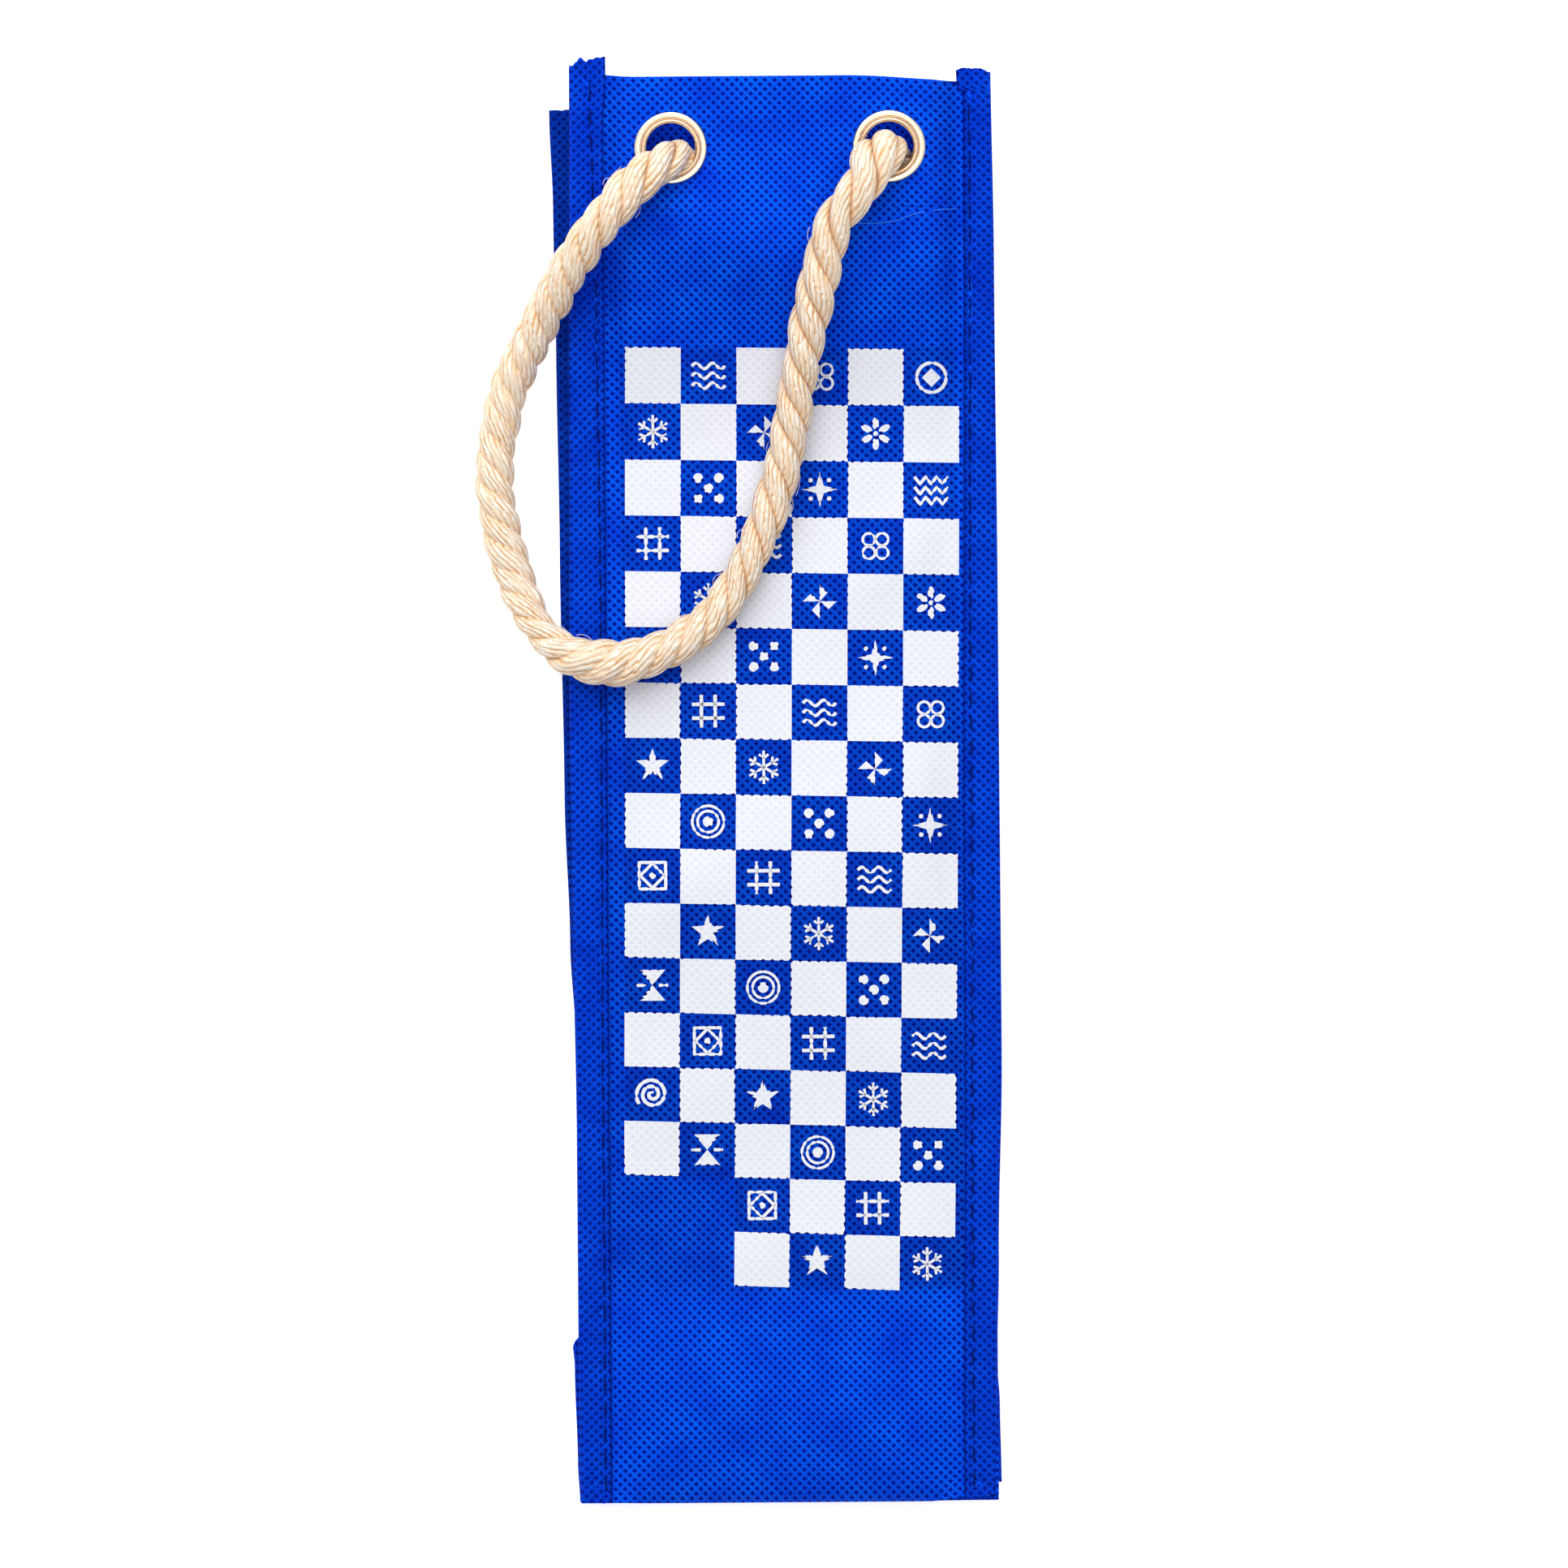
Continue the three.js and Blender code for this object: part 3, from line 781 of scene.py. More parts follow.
# Each tape's outer and inner edge and its stitches, and a front tape's torn end, foot and creases
TAPES = {
    "front_left": {
        "outer": tape_line([
            (0, -51.4), (40, -51.7), (90, -51.7), (140, -52.2), (200, -52.6), (260, -52.2), (355, -51.6),
        ]),
        "inner": tape_line([(0, -43.9), (200, -43.7), (340, -43.5), (349, -42.8), (356, -42.8)]),
        "torn": [
            (-52.5, 2.3), (-51.6, 2.1), (-50.6, 0.9), (-49.4, 0), (-48.9, 0.1), (-48.1, 1.3), (-47.5, 0.6),
            (-46.6, 0.3), (-43.5, 0),
        ],
        "foot": [(-52, 1.7), (-50.6, 0.6), (-49.4, 0), (-47.6, 0.1), (-46.2, -0.3), (-44, 0.3)],
        "stitch": tape_line([(0, -45.4), (100, -45.3), (220, -44.9), (300, -45.6), (355, -46.8)]),
        "creases": [
            (-49.6, 352.6, -46.8, 347.6, 0.8, 0.6), (-48.6, 350, -44.6, 345.5, 0.6, 0.5),
            (-50.6, 349, -49.4, 344, 0.4, 0.5),
            (-50, 43.7, -45.7, 47.3, 0.8, 0.6), (-51, 40, -46.5, 38.6, 0.5, 0.6),
            (-50.5, 5, -44.5, 3.6, 0.6, 0.7), (-48.5, 9, -47.6, 1, 0.6, 0.6),
        ],
    },
    "front_right": {
        "outer": tape_line([
            (0, 50.4), (30, 50.9), (60, 51.6), (110, 52.7), (220, 52.6), (305, 52.3), (355, 51.8),
        ]),
        "inner": tape_line([(0, 42.9), (120, 43.8), (346.6, 45.2), (347.8, 43.6), (356, 43.4)]),
        "torn": [(41, 0.9), (43, 0.6), (44.6, 0.1), (46, 0), (50.4, 0.1), (51.3, 0.4), (52, 1.1)],
        "foot": [(43, 0.1), (46, 0.2), (49, 0.6), (50.4, 1.2), (51, 2)],
        "stitch": tape_line([(0, 45.2), (200, 46.0), (355, 46.7)]),
        "creases": [
            (44.4, 351, 46.9, 345, 0.6, 0.5), (46, 341, 50.6, 338, 0.4, 0.6),
            (44, 5, 50, 2.8, 0.7, 0.7), (47.5, 10, 46.8, 1, 0.6, 0.6),
        ],
    },
    "back_left": {
        "outer": tape_line([
            (90, -51.3), (114, -51.8), (138, -53), (174, -54.1), (234, -54.8), (282, -55.3), (318, -55.8),
            (343, -56.6),
        ]),
        "inner": straight(-TAPE_CLEAR),
        "stitch": straight(-46),
    },
    "base_left": {
        "outer": tape_line([(0, -51.6), (10, -52.1), (34, -52.7), (39, -53.1), (41.5, -51.2)]),
        "inner": straight(-TAPE_CLEAR),
        "stitch": straight(-46),
    },
    "base_right": {
        "outer": tape_line([(0, 51.2), (4, 51.9), (24, 51.6), (34, 51), (44, 50.6)]),
        "inner": straight(TAPE_CLEAR),
        "stitch": straight(46),
    },
    "plain_left": {
        "outer": straight(-51.2),
        "inner": straight(-TAPE_CLEAR),
        "stitch": straight(-46),
    },
    "plain_right": {
        "outer": tape_line([(0, 50.4), (40, 50.7), (80, 51.3), (140, 51.8)]),
        "inner": straight(TAPE_CLEAR),
        "stitch": straight(46),
    },
}


def front_tape_lift(y):
    """The front's tapes rise with its mouth and lie in long low waves."""
    return TAPE_LIFT * mouth_share(y) + TAPE_WAVES * math.sin(y / 17) * math.sin(y / 41 + 1)


def droop(x, y):
    """Where the back's left tape shows past the front, it hangs down to the table."""
    return -TAPE_DROOP * ease((-x - 45) / 9) * ease((y - 90) / 60)


def crease_depth(creases, x, y):
    """The dent at a point of a tape's creases, each from one point to another with a depth and a width."""
    total = 0
    for x0, y0, x1, y1, depth, width in creases:
        run_x, run_y = x1 - x0, y1 - y0
        t = min(1, max(0, ((x - x0) * run_x + (y - y0) * run_y) / (run_x * run_x + run_y * run_y)))
        away = math.hypot(x - x0 - run_x * t, y - y0 - run_y * t)
        total -= depth * math.exp(-(away / width) ** 2)
    return total


def tape_surface(line, x, y):
    """How the tape's upper run lies: sunk along its stitches, puckered between them, full at its edges."""
    from_stitch = x - line["stitch"](y)
    turn = 2 * math.pi * y / STITCH_PITCH
    beat = 0.5 + 0.5 * math.cos(turn)
    groove = -TAPE_GROOVE * math.exp(-(from_stitch / GROOVE_REACH) ** 2) * (0.7 + 0.3 * beat)
    pucker = TAPE_PUCKER * math.sin(turn + 0.8) * math.exp(-abs(from_stitch) / PUCKER_REACH)
    full = TAPE_FULLNESS * math.exp(-((abs(x) - FULL_X) / FULL_REACH) ** 2)
    roll = TAPE_ROLL * math.exp(-((abs(x) - abs(line["inner"](y))) / ROLL_REACH) ** 2)
    return groove + pucker + full + roll + crease_depth(line.get("creases", []), x, y)


def ragged_end(rng, count, depth):
    """Torn ends of a tape: how far each column stops short of the tape's end."""
    return [depth * rng.random() ** 1.6 for _ in range(count + 1)]


def binding_tape(name, body, node, line, bottom, top, lift, ragged, seed):
    """A tape folded round the raw edges of a seam, with an upper run, a rounded edge and a lower run."""
    rng = random.Random(seed)
    columns = TAPE_ACROSS + TAPE_WRAP + TAPE_UNDER
    rows = round((top - bottom) / TAPE_ROW)
    floor = LEVELS[body] * STEP
    radius = (TAPE_TOP_Z - TAPE_LOW_Z) / 2
    torn_low = ragged_end(rng, columns, ragged[0])
    torn_high = ragged_end(rng, columns, ragged[1])
    sign = 1 if line["outer"](bottom) > 0 else -1

    def place(across, up):
        column = round((across if sign > 0 else 1 - across) * columns)
        y = bottom + (top - bottom) * up
        near_low, near_high = max(0, 1 - up * rows / 2), max(0, 1 - (1 - up) * rows / 2)
        y += torn_low[column] * near_low - torn_high[column] * near_high
        spread = min(1, column / TAPE_ACROSS)
        if "torn" in line:
            end_x = line["inner"](top) + (line["outer"](top) - line["inner"](top)) * spread
            foot_x = line["inner"](bottom) + (line["outer"](bottom) - line["inner"](bottom)) * spread
            y -= along(line["torn"], end_x) * max(0, 1 - (1 - up) * rows / TORN_ROWS)
            y += along(line["foot"], foot_x) * max(0, 1 - up * rows / TORN_ROWS)
        inner, outer = line["inner"](y), line["outer"](y) - sign * radius
        width = abs(outer - inner)
        if column <= TAPE_ACROSS:
            share = column / TAPE_ACROSS
            x = inner + (outer - inner) * share
            z = TAPE_TOP_Z + tape_surface(line, x, y)
            cut = width * share
        elif column <= TAPE_ACROSS + TAPE_WRAP:
            angle = math.pi * (column - TAPE_ACROSS) / TAPE_WRAP
            x = outer + sign * radius * math.sin(angle)
            z = (TAPE_TOP_Z + TAPE_LOW_Z) / 2 + radius * math.cos(angle)
            cut = width + radius * angle
        else:
            share = (column - TAPE_ACROSS - TAPE_WRAP) / TAPE_UNDER
            x = outer + (sign * max(TAPE_CLEAR, abs(inner)) - outer) * share
            z = TAPE_LOW_Z
            cut = width + math.pi * radius + width * share
        hang = droop(x, y) if name == "back_left_tape" else 0
        return (x, y, floor + z + lift(y) + hang), (cut + TAPE_DOTS[0], y + TAPE_DOTS[1])

    piece = thicken(cloth_grid(columns, rows, place))
    # The back's tapes take the darker copy of the tape: painted shade.
    finish = SHADED_BACK_TAPE if body == "back" else TAPE
    return finish_piece(piece, name, finish, body, [node], smooth=60)


def stitch_row(name, body, points, thread):
    """Sewn stitches: one small capsule, copied along a line of points that are in millimetres."""
    deselect()
    bpy.ops.mesh.primitive_uv_sphere_add(segments=8, ring_count=6, radius=0.5)
    model = bpy.context.object
    copies = []
    for start, end in zip(points, points[1:]):
        a, b = row_point(*start), row_point(*end)
        run = b - a
        size = Matrix.Diagonal((thread * MM, thread * MM, run.length * STITCH_SHARE, 1))
        turn = run.to_track_quat("Z", "Y").to_matrix().to_4x4()
        stitch = model.copy()
        stitch.data = model.data.copy()
        stitch.data.transform(Matrix.Translation((a + b) / 2) @ turn @ size)
        bpy.context.scene.collection.objects.link(stitch)
        copies.append(stitch)
    bpy.data.objects.remove(model)
    return finish_piece(join(copies), name, SEAM_THREAD, body, smooth=80)


def seam_stitches(name, body, line, bottom, top, lift, face):
    """Stitches along a tape: on its upper run, or on its lower run when face is -1."""
    count = int((top - bottom) / STITCH_PITCH)
    points = []
    for i in range(count + 1):
        y = bottom + i * STITCH_PITCH
        x = line["stitch"](y) + 0.15 * math.sin(i * 2.1)
        if face > 0:
            near = max(tape_surface(line, x, y + share * STITCH_PITCH) for share in (0, 0.25, 0.5))
            z = TAPE_TOP_Z + PLY / 2 + near + 0.08
        else:
            z = TAPE_LOW_Z - PLY / 2 - 0.02
        points.append((x, y, LEVELS[body] * STEP + z + lift(y)))
    return stitch_row(name, body, points, SEAM_THREAD_WIDTH)


# How far the front's tapes stand up past its mouth
LEFT_EAR = 5.8
RIGHT_EAR = 2.4
# The tapes of the other panels stop just short of the creases between them
TAPE_CREASE = GUSSET_HALF + 0.3
TAPE_FOLD = BASE_DEPTH - 0.3
no_lift = straight(0)
# Each tape's body, side and line, its start and end, its lift, how ragged its ends are, its stitched face
tape_jobs = [
    ("front", "left", "front_left", 0, BAG_HEIGHT + LEFT_EAR, front_tape_lift, (0.3, 0.35), 1),
    ("front", "right", "front_right", 0.4, BAG_HEIGHT + RIGHT_EAR, front_tape_lift, (0.3, 0.3), 1),
    ("back", "left", "back_left", TAPE_CREASE, BACK_TOP + 1, no_lift, (0.3, 0.5), -1),
    ("back", "right", "plain_right", TAPE_CREASE, BACK_TOP, no_lift, (0.3, 0.5), -1),
    ("back_lower", "left", "plain_left", TAPE_CREASE, TAPE_FOLD, no_lift, (0.2, 0.2), 1),
    ("back_lower", "right", "plain_right", TAPE_CREASE, TAPE_FOLD, no_lift, (0.2, 0.2), 1),
    ("base", "left", "base_left", 0, TAPE_FOLD, no_lift, (0.5, 0.2), -1),
    ("base", "right", "base_right", 4.4, TAPE_FOLD, no_lift, (1.2, 0.2), -1),
]
for seed, (body, side_name, line_name, low, high, lift, ragged, face) in enumerate(tape_jobs, 5):
    name = f"{body}_{side_name}"
    line = TAPES[line_name]
    binding_tape(f"{name}_tape", body, f"{name}_binding", line, low, high, lift, ragged, seed)
    seam_stitches(f"{name}_seam_stitches", body, line, low + 2, high - 3, lift, face)


def profile_ring(profile, centre, facing):
    """A ring spun from its (radius, height) section: facing is 1 when its heights go up, -1 when down."""
    deselect()
    bpy.ops.mesh.primitive_circle_add(vertices=len(profile), radius=1)
    ring = bpy.context.object
    for vertex, (radius, height) in zip(ring.data.vertices, profile):
        vertex.co = Vector((radius, 0, facing * height)) * MM
    bpy.ops.object.mode_set(mode="EDIT")
    bpy.ops.mesh.select_all(action="SELECT")
    bpy.ops.mesh.spin(steps=RING_STEPS, angle=2 * math.pi, center=(0, 0, 0), axis=(0, 0, 1))
    bpy.ops.mesh.select_all(action="SELECT")
    bpy.ops.mesh.remove_doubles(threshold=0.00001)
    bpy.ops.mesh.normals_make_consistent(inside=False)
    bpy.ops.object.mode_set(mode="OBJECT")
    ring.data.transform(Matrix.Translation(row_point(*centre)) @ Matrix.Rotation(-LEAN, 4, "X"))
    return ring


def arc_points(centre_radius, centre_height, reach_out, reach_up, start, end, count):
    """Points of an elliptic arc on a ring's section, from one angle to another in degrees."""
    points = []
    for i in range(count + 1):
        angle = math.radians(start + (end - start) * i / count)
        across, up = reach_out * math.cos(angle), reach_up * math.sin(angle)
        points.append((centre_radius + across, centre_height + up))
    return points


# Section of an eyelet: a broad rounded rim, a narrow groove, a lip inside it, the barrel and its rolled end
RIM_CREST = 8.45
EYELET_SECTION = [
    *arc_points(RIM_CREST, 0.2, EYELET_RIM - RIM_CREST, 0.9, -8, 90, 8),
    (8.2, 1.13),
    (7.95, 1.12),
    *arc_points(7.75, 0.2, 0.5, 0.9, 92, 172, 7),
    (7.14, -0.05),
    (7.05, 0.12),
    (6.92, 0.3),
    (6.74, 0.36),
    (6.52, 0.26),
    (6.32, 0.02),
    (6.16, -0.3),
    (6.06, -0.8),
    (EYELET_BORE, -1.4),
    (EYELET_BORE, -BARREL_DEPTH - 0.5),
    (EYELET_BORE + 0.2, -BARREL_DEPTH - 0.6),
    (EYELET_BORE + 1.3, -BARREL_DEPTH - 0.6),
    (EYELET_BORE + 1.6, -BARREL_DEPTH - 0.35),
    (EYELET_BORE + 1.6, -BARREL_DEPTH),
    (EYELET_BORE + 0.6, -BARREL_DEPTH),
    (EYELET_BORE + 0.6, -0.25),
    (7.4, 0.08),
    (EYELET_RIM - 0.3, 0.08),
]
WASHER_SECTION = [(6.9, -0.5), (8.8, -0.5), (9, -0.35), (9, -0.15), (8.8, 0), (6.9, 0)]
WASHER_DEPTH = 2 * PLY + 0.3 + 0.2
EYELET_ROWS = [("front", FRONT_EYELET_Y, FRONT_FACE, 1), ("back", BACK_EYELET_Y, BACK_FACE, -1)]
for panel, eyelet_y, face_z, facing in EYELET_ROWS:
    for side_name, side in (("left", -1), ("right", 1)):
        node = f"{panel}_{side_name}"
        washer_z = face_z - facing * WASHER_DEPTH
        for part, section, z in (("eyelet", EYELET_SECTION, face_z), ("washer", WASHER_SECTION, washer_z)):
            ring = profile_ring(section, (side * EYELET_X, eyelet_y, z), facing)
            finish_piece(ring, f"{node}_gold_{part}", GOLD, panel, [f"{node}_{part}"],
                         smooth=50)

# The rope's way: out of the left eyelet, round over the floor and the front, and into the right one
LEFT_NECK = [
    (1.7, -2.4, -8), (1.7, -2.2, -4), (1.4, -2.0, -0.4), (-0.6, -3.0, 3.4), (-4.2, -5.2, 6.2),
    (-8.0, -8.0, 8.2),
]
RIGHT_NECK = [
    (0.6, -1.4, -8), (0.8, -1.0, -4), (0, -0.8, 0.0), (-2.0, -1.8, 4.0), (-4.4, -5.0, 7.0),
    (-6.1, -8.8, 8.7),
]
ROPE_ROUTE = [
    (-42.8, 316.2, 25.8), (-49.6, 307.3, 21.5), (-56.1, 296.3, 14.6), (-62, 285.1, 8.8),
    (-66.7, 275.3, 5.7), (-69.6, 264.2, 4.6), (-70.8, 251.7, 4.4), (-69.2, 239.5, 4.4),
    (-66, 228, 4.9), (-61.6, 217.6, 7.8), (-54.4, 209.7, 11.8), (-43.8, 206.6, 12.6),
    (-31.6, 208.9, 11.6), (-21, 214.8, 11.3), (-13.3, 223.1, 11.2), (-7.8, 232.9, 11.2),
    (-3.1, 244.4, 11.2), (0.4, 255.8, 11.5), (2.9, 268.9, 13.2), (5.1, 281, 16.4),
    (7.3, 291.4, 19.4), (10.1, 303.2, 22.4), (13.3, 314.2, 25),
]
ROUTE_LIFT = 0.7
ROUTE_SHIFT = Vector((SEAT_X, SEAT_Y, ROUTE_LIFT)) * MM


def neck_points(side, offsets):
    """The rope's points over one eyelet, from their places beside the eyelet's middle."""
    return [row_point(side * EYELET_X + x, FRONT_EYELET_Y + y, FRONT_FACE + z) for x, y, z in offsets]


def smooth_route(points, step):
    """Points a step apart on a centripetal curve through the given ones."""
    ends = [points[0] * 2 - points[1], *points, points[-1] * 2 - points[-2]]
    fine = []
    for p0, p1, p2, p3 in zip(ends, ends[1:], ends[2:], ends[3:]):
        t1 = (p1 - p0).length ** 0.5
        t2 = t1 + (p2 - p1).length ** 0.5
        t3 = t2 + (p3 - p2).length ** 0.5
        for i in range(24):
            t = t1 + (t2 - t1) * i / 24
            a1 = p0.lerp(p1, t / t1)
            a2 = p1.lerp(p2, (t - t1) / (t2 - t1))
            a3 = p2.lerp(p3, (t - t2) / (t3 - t2))
            b1 = a1.lerp(a2, t / t2)
            b2 = a2.lerp(a3, (t - t1) / (t3 - t1))
            fine.append(b1.lerp(b2, (t - t1) / (t2 - t1)))
    fine.append(points[-1])
    lengths = [0]
    for a, b in zip(fine, fine[1:]):
        lengths.append(lengths[-1] + (b - a).length)
    count = round(lengths[-1] / step)
    even, at = [], 0
    for i in range(count + 1):
        target = lengths[-1] * i / count
        while at < len(fine) - 2 and lengths[at + 1] < target:
            at += 1
        span = lengths[at + 1] - lengths[at]
        even.append(fine[at].lerp(fine[at + 1], (target - lengths[at]) / span))
    return even


def direction_at(points, i):
    """The way that a line runs at one of its points."""
    return (points[min(i + 1, len(points) - 1)] - points[max(i - 1, 0)]).normalized()


def tube_faces(first, count, sides):
    """The faces of a closed tube with this many rings, which starts at the first vertex given."""
    faces = []
    for i in range(count - 1):
        for k in range(sides):
            a, b = first + i * sides + k, first + i * sides + (k + 1) % sides
            faces.append((a, b, b + sides, a + sides))
    last = first + (count - 1) * sides
    return faces + [tuple(range(first + sides - 1, first - 1, -1)), tuple(range(last, last + sides))]


def tube_rings(points, radius, sides):
    """The rings of a thin tube along a line, one after another."""
    rings = []
    for i, point in enumerate(points):
        ahead = direction_at(points, i)
        u = ahead.orthogonal().normalized() if i == 0 else (u - ahead * u.dot(ahead)).normalized()
        v = ahead.cross(u)
        for k in range(sides):
            angle = 2 * math.pi * k / sides
            rings.append(point + (u * math.cos(angle) + v * math.sin(angle)) * radius)
    return rings


def lay_angles(run, pitch_of):
    """How far the strands have turned at each point of the run: they are laid to the left."""
    angles = [0]
    for s0, s1 in zip(run, run[1:]):
        angles.append(angles[-1] - 2 * math.pi * (s1 - s0) / pitch_of((s0 + s1) / 2))
    return angles


def loose_fibres(path, frames, run, radius_of, count):
    """Fine fibres that stand off the rope in small arches."""
    rng = random.Random(FIBRE_SEED)
    fibres = []
    for _ in range(count):
        i = rng.randrange(6, len(path) - 8)
        u, v = frames[i]
        angle = rng.uniform(0, 2 * math.pi)
        out = u * math.cos(angle) + v * math.sin(angle)
        ahead = (path[i + 1] - path[i]).normalized()
        side = ahead.cross(out)
        start = path[i] + out * (STRAND_CENTRE + STRAND_RADIUS * 0.86) * radius_of(run[i]) * MM
        length, height, sway = rng.uniform(2, 6), rng.uniform(0.4, 1.3), rng.uniform(-1.4, 1.4)
        lean = rng.choice((-1, 1))
        line = []
        for k in range(7):
            t = k / 6
            arch = height * math.sin(math.pi * min(1, t * rng.uniform(0.75, 0.85) + 0.02))
            line.append(start + (ahead * lean * length * t + out * arch + side * sway * t * t) * MM)
        fibres.append(line)
    return fibres


def laid_rope(path, radius_of, pitch_of, fibre_count=0):
    """Three strands laid round a path, each a closed tube, in one mesh with its own flat cut and crown."""
    tangents = [direction_at(path, i) for i in range(len(path))]
    across = tangents[0].orthogonal().normalized()
    frames = []
    for tangent in tangents:
        across = (across - tangent * across.dot(tangent)).normalized()
        frames.append((across, tangent.cross(across)))
    run = [0]
    for a, b in zip(path, path[1:]):
        run.append(run[-1] + (b - a).length / MM)
    turned = lay_angles(run, pitch_of)
    points, faces, flat, crown = [], [], [], []
    for strand in range(STRANDS):
        faces += tube_faces(len(points), len(path), STRAND_SIDES)
        centres, outs = [], []
        for (u, v), point, s, turn in zip(frames, path, run, turned):
            angle = turn + 2 * math.pi * strand / STRANDS
            out = u * math.cos(angle) + v * math.sin(angle)
            outs.append(out)
            centres.append(point + out * STRAND_CENTRE * radius_of(s) * MM)
        for i, (centre, out, s) in enumerate(zip(centres, outs, run)):
            ahead = direction_at(centres, i)
            out = (out - ahead * out.dot(ahead)).normalized()
            side = ahead.cross(out)
            uneven = 1 + 0.06 * math.sin(s / 4.7 + strand * 2.1) + 0.03 * math.sin(s / 1.9 + strand)
            for k in range(STRAND_SIDES):
                angle = 2 * math.pi * k / STRAND_SIDES
                reach = STRAND_RADIUS * radius_of(s) * uneven * (1 - 0.06 * math.cos(2 * angle))
                points.append(centre + (out * math.cos(angle) + side * math.sin(angle)) * reach * MM)
                flat.append((UV_UNIT * k / STRAND_SIDES, s))
                # The crown: 1 on a strand's outer top, 0 in the valleys; the cotton paints its light and
                # shade from it.
                crown.append(ease((math.cos(angle) + 0.4) / 1.25))
    for line in loose_fibres(path, frames, run, radius_of, fibre_count):
        faces += tube_faces(len(points), len(line), FIBRE_SIDES)
        points += tube_rings(line, FIBRE_RADIUS * MM, FIBRE_SIDES)
    flat += [(0, 0)] * (len(points) - len(flat))
    crown += [1] * (len(points) - len(crown))
    piece = mesh_object("laid_rope", points, faces)
    mesh = piece.data
    layer = mesh.uv_layers.new(name="flat_cut")
    for polygon in mesh.polygons:
        corners = [flat[mesh.loops[i].vertex_index] for i in polygon.loop_indices]
        width = max(u for u, v in corners) - min(u for u, v in corners)
        wraps = len(corners) == 4 and width > UV_UNIT / 2
        for i, (u, v) in zip(polygon.loop_indices, corners):
            layer.data[i].uv = ((u + UV_UNIT if wraps and u < UV_UNIT / 2 else u) / UV_UNIT, v / UV_UNIT)
    tops = mesh.attributes.new("crown", "FLOAT", "POINT")
    tops.data.foreach_set("value", crown)
    return piece


rope_route = [
    *neck_points(-1, LEFT_NECK),
    *[Vector(p) * MM + ROUTE_SHIFT for p in ROPE_ROUTE],
    *reversed(neck_points(1, RIGHT_NECK)),
]
rope_path = smooth_route(rope_route, ROPE_STEP * MM)
rope_length = sum((b - a).length for a, b in zip(rope_path, rope_path[1:]))


# Fuller places of the rope, thinner where the share is below 0: the place's middle, reach and share
FULL_PLACES = [(92, 16, 0.08), (150, 9, -0.17), (169, 10.5, 0.24)]
FULL_FROM_END = [(14, 6, 0.36), (36, 9, -0.12)]
# The free run is fuller than the ends that the eyelets pinch, and a little more so beside them
FREE_FULLNESS = 0.19
END_FULLNESS = 0.06
UNEVENNESS = 0.03


def rope_fullness(s):
    """How full the rope is, as a share of its plain thickness."""
    left = rope_length / MM - s
    ends = min(s, left)
    fullness = 1.0 + FREE_FULLNESS * ease((ends - 8) / 12)
    fullness += END_FULLNESS * ease((ends - 10) / 12) * (1 - ease((ends - 45) / 40))
    fullness += UNEVENNESS * (math.sin(s / 9.0) + math.sin(s / 23.0 + 1))
    for distance, places in ((s, FULL_PLACES), (left, FULL_FROM_END)):
        for middle, reach, share in places:
            fullness += share * math.exp(-((distance - middle) / reach) ** 2)
    return fullness


rope = laid_rope(rope_path, rope_fullness, lambda s: along(LAY_STOPS, s), FIBRE_COUNT)

# Knots: one overhand turn of squeezed rope each, behind the front's eyelets
KNOT_LIFT = 4.6
KNOT_STEPS = 110
KNOT_TURN = 0.985
KNOT_REACH = 1.55
KNOT_ACROSS = 0.8
KNOT_ALONG = 0.95
KNOT_DEPTH = 1.7
KNOT_FULLNESS = 0.62
KNOT_LAY = 15


def knot_path(centre):
    """A trefoil line round the middle of the knot, pressed flat."""
    points = []
    for i in range(KNOT_STEPS + 1):
        t = 2 * math.pi * i / KNOT_STEPS * KNOT_TURN
        x = KNOT_REACH * (math.sin(t) + 2 * math.sin(2 * t)) * KNOT_ACROSS
        y = KNOT_REACH * (math.cos(t) - 2 * math.cos(2 * t)) * KNOT_ALONG
        z = -KNOT_DEPTH * math.sin(3 * t)
        points.append(row_point(centre[0] + x, centre[1] + y, centre[2] + z))
    return points


knot_z = LEVELS["front"] * STEP + KNOT_LIFT
for side_name, side, shift in (("left", -1, (2.2, -5.6)), ("right", 1, (0.8, -5.6))):
    centre = (side * EYELET_X + shift[0], FRONT_EYELET_Y + shift[1], knot_z)
    knot = laid_rope(knot_path(centre), lambda s: KNOT_FULLNESS, lambda s: KNOT_LAY)
    finish_piece(knot, f"{side_name}_rope_knot", COTTON, "front", [f"{side_name}_knot"], smooth=60)

finish_piece(rope, "cotton_rope", COTTON, None, ["rope_handle"], smooth=60)
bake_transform(rope)

# Hem seam: fine stitches across the front, and a loose end of pale thread that lies over them
HEM_STITCH = 2.8
HEM_THREAD = 0.3
HEM_SEAM_HALF = 43
hem_line = []
for i in range(int(2 * HEM_SEAM_HALF / HEM_STITCH) + 1):
    x = -HEM_SEAM_HALF + i * HEM_STITCH
    z = front_height(x, HEM_SEAM) + PLY / 2 + 0.02
    hem_line.append((x, HEM_SEAM + 0.2 * math.sin(i * 1.7), z))
stitch_row("hem_stitches", "front", hem_line, HEM_THREAD)
LOOSE_END = [
    (6.3, 319.9), (9.3, 317.8), (13, 315.4), (18, 314.2), (26.4, 314.3), (30, 315.2), (32.8, 316.3),
    (38, 317.2), (43.6, 317.7),
]
LOOSE_RADIUS = 0.14
LOOSE_SIDES = 6
LOOSE_STEP = 0.8
LOOSE_LIFT = PLY / 2 + 0.12
thread_points = [row_point(x, y, front_height(x, y) + LOOSE_LIFT) for x, y in LOOSE_END]
thread_route = smooth_route(thread_points, LOOSE_STEP * MM)
thread_rings = tube_rings(thread_route, LOOSE_RADIUS * MM, LOOSE_SIDES)
thread_faces = tube_faces(0, len(thread_route), LOOSE_SIDES)
loose_thread = mesh_object("loose_thread", thread_rings, thread_faces)
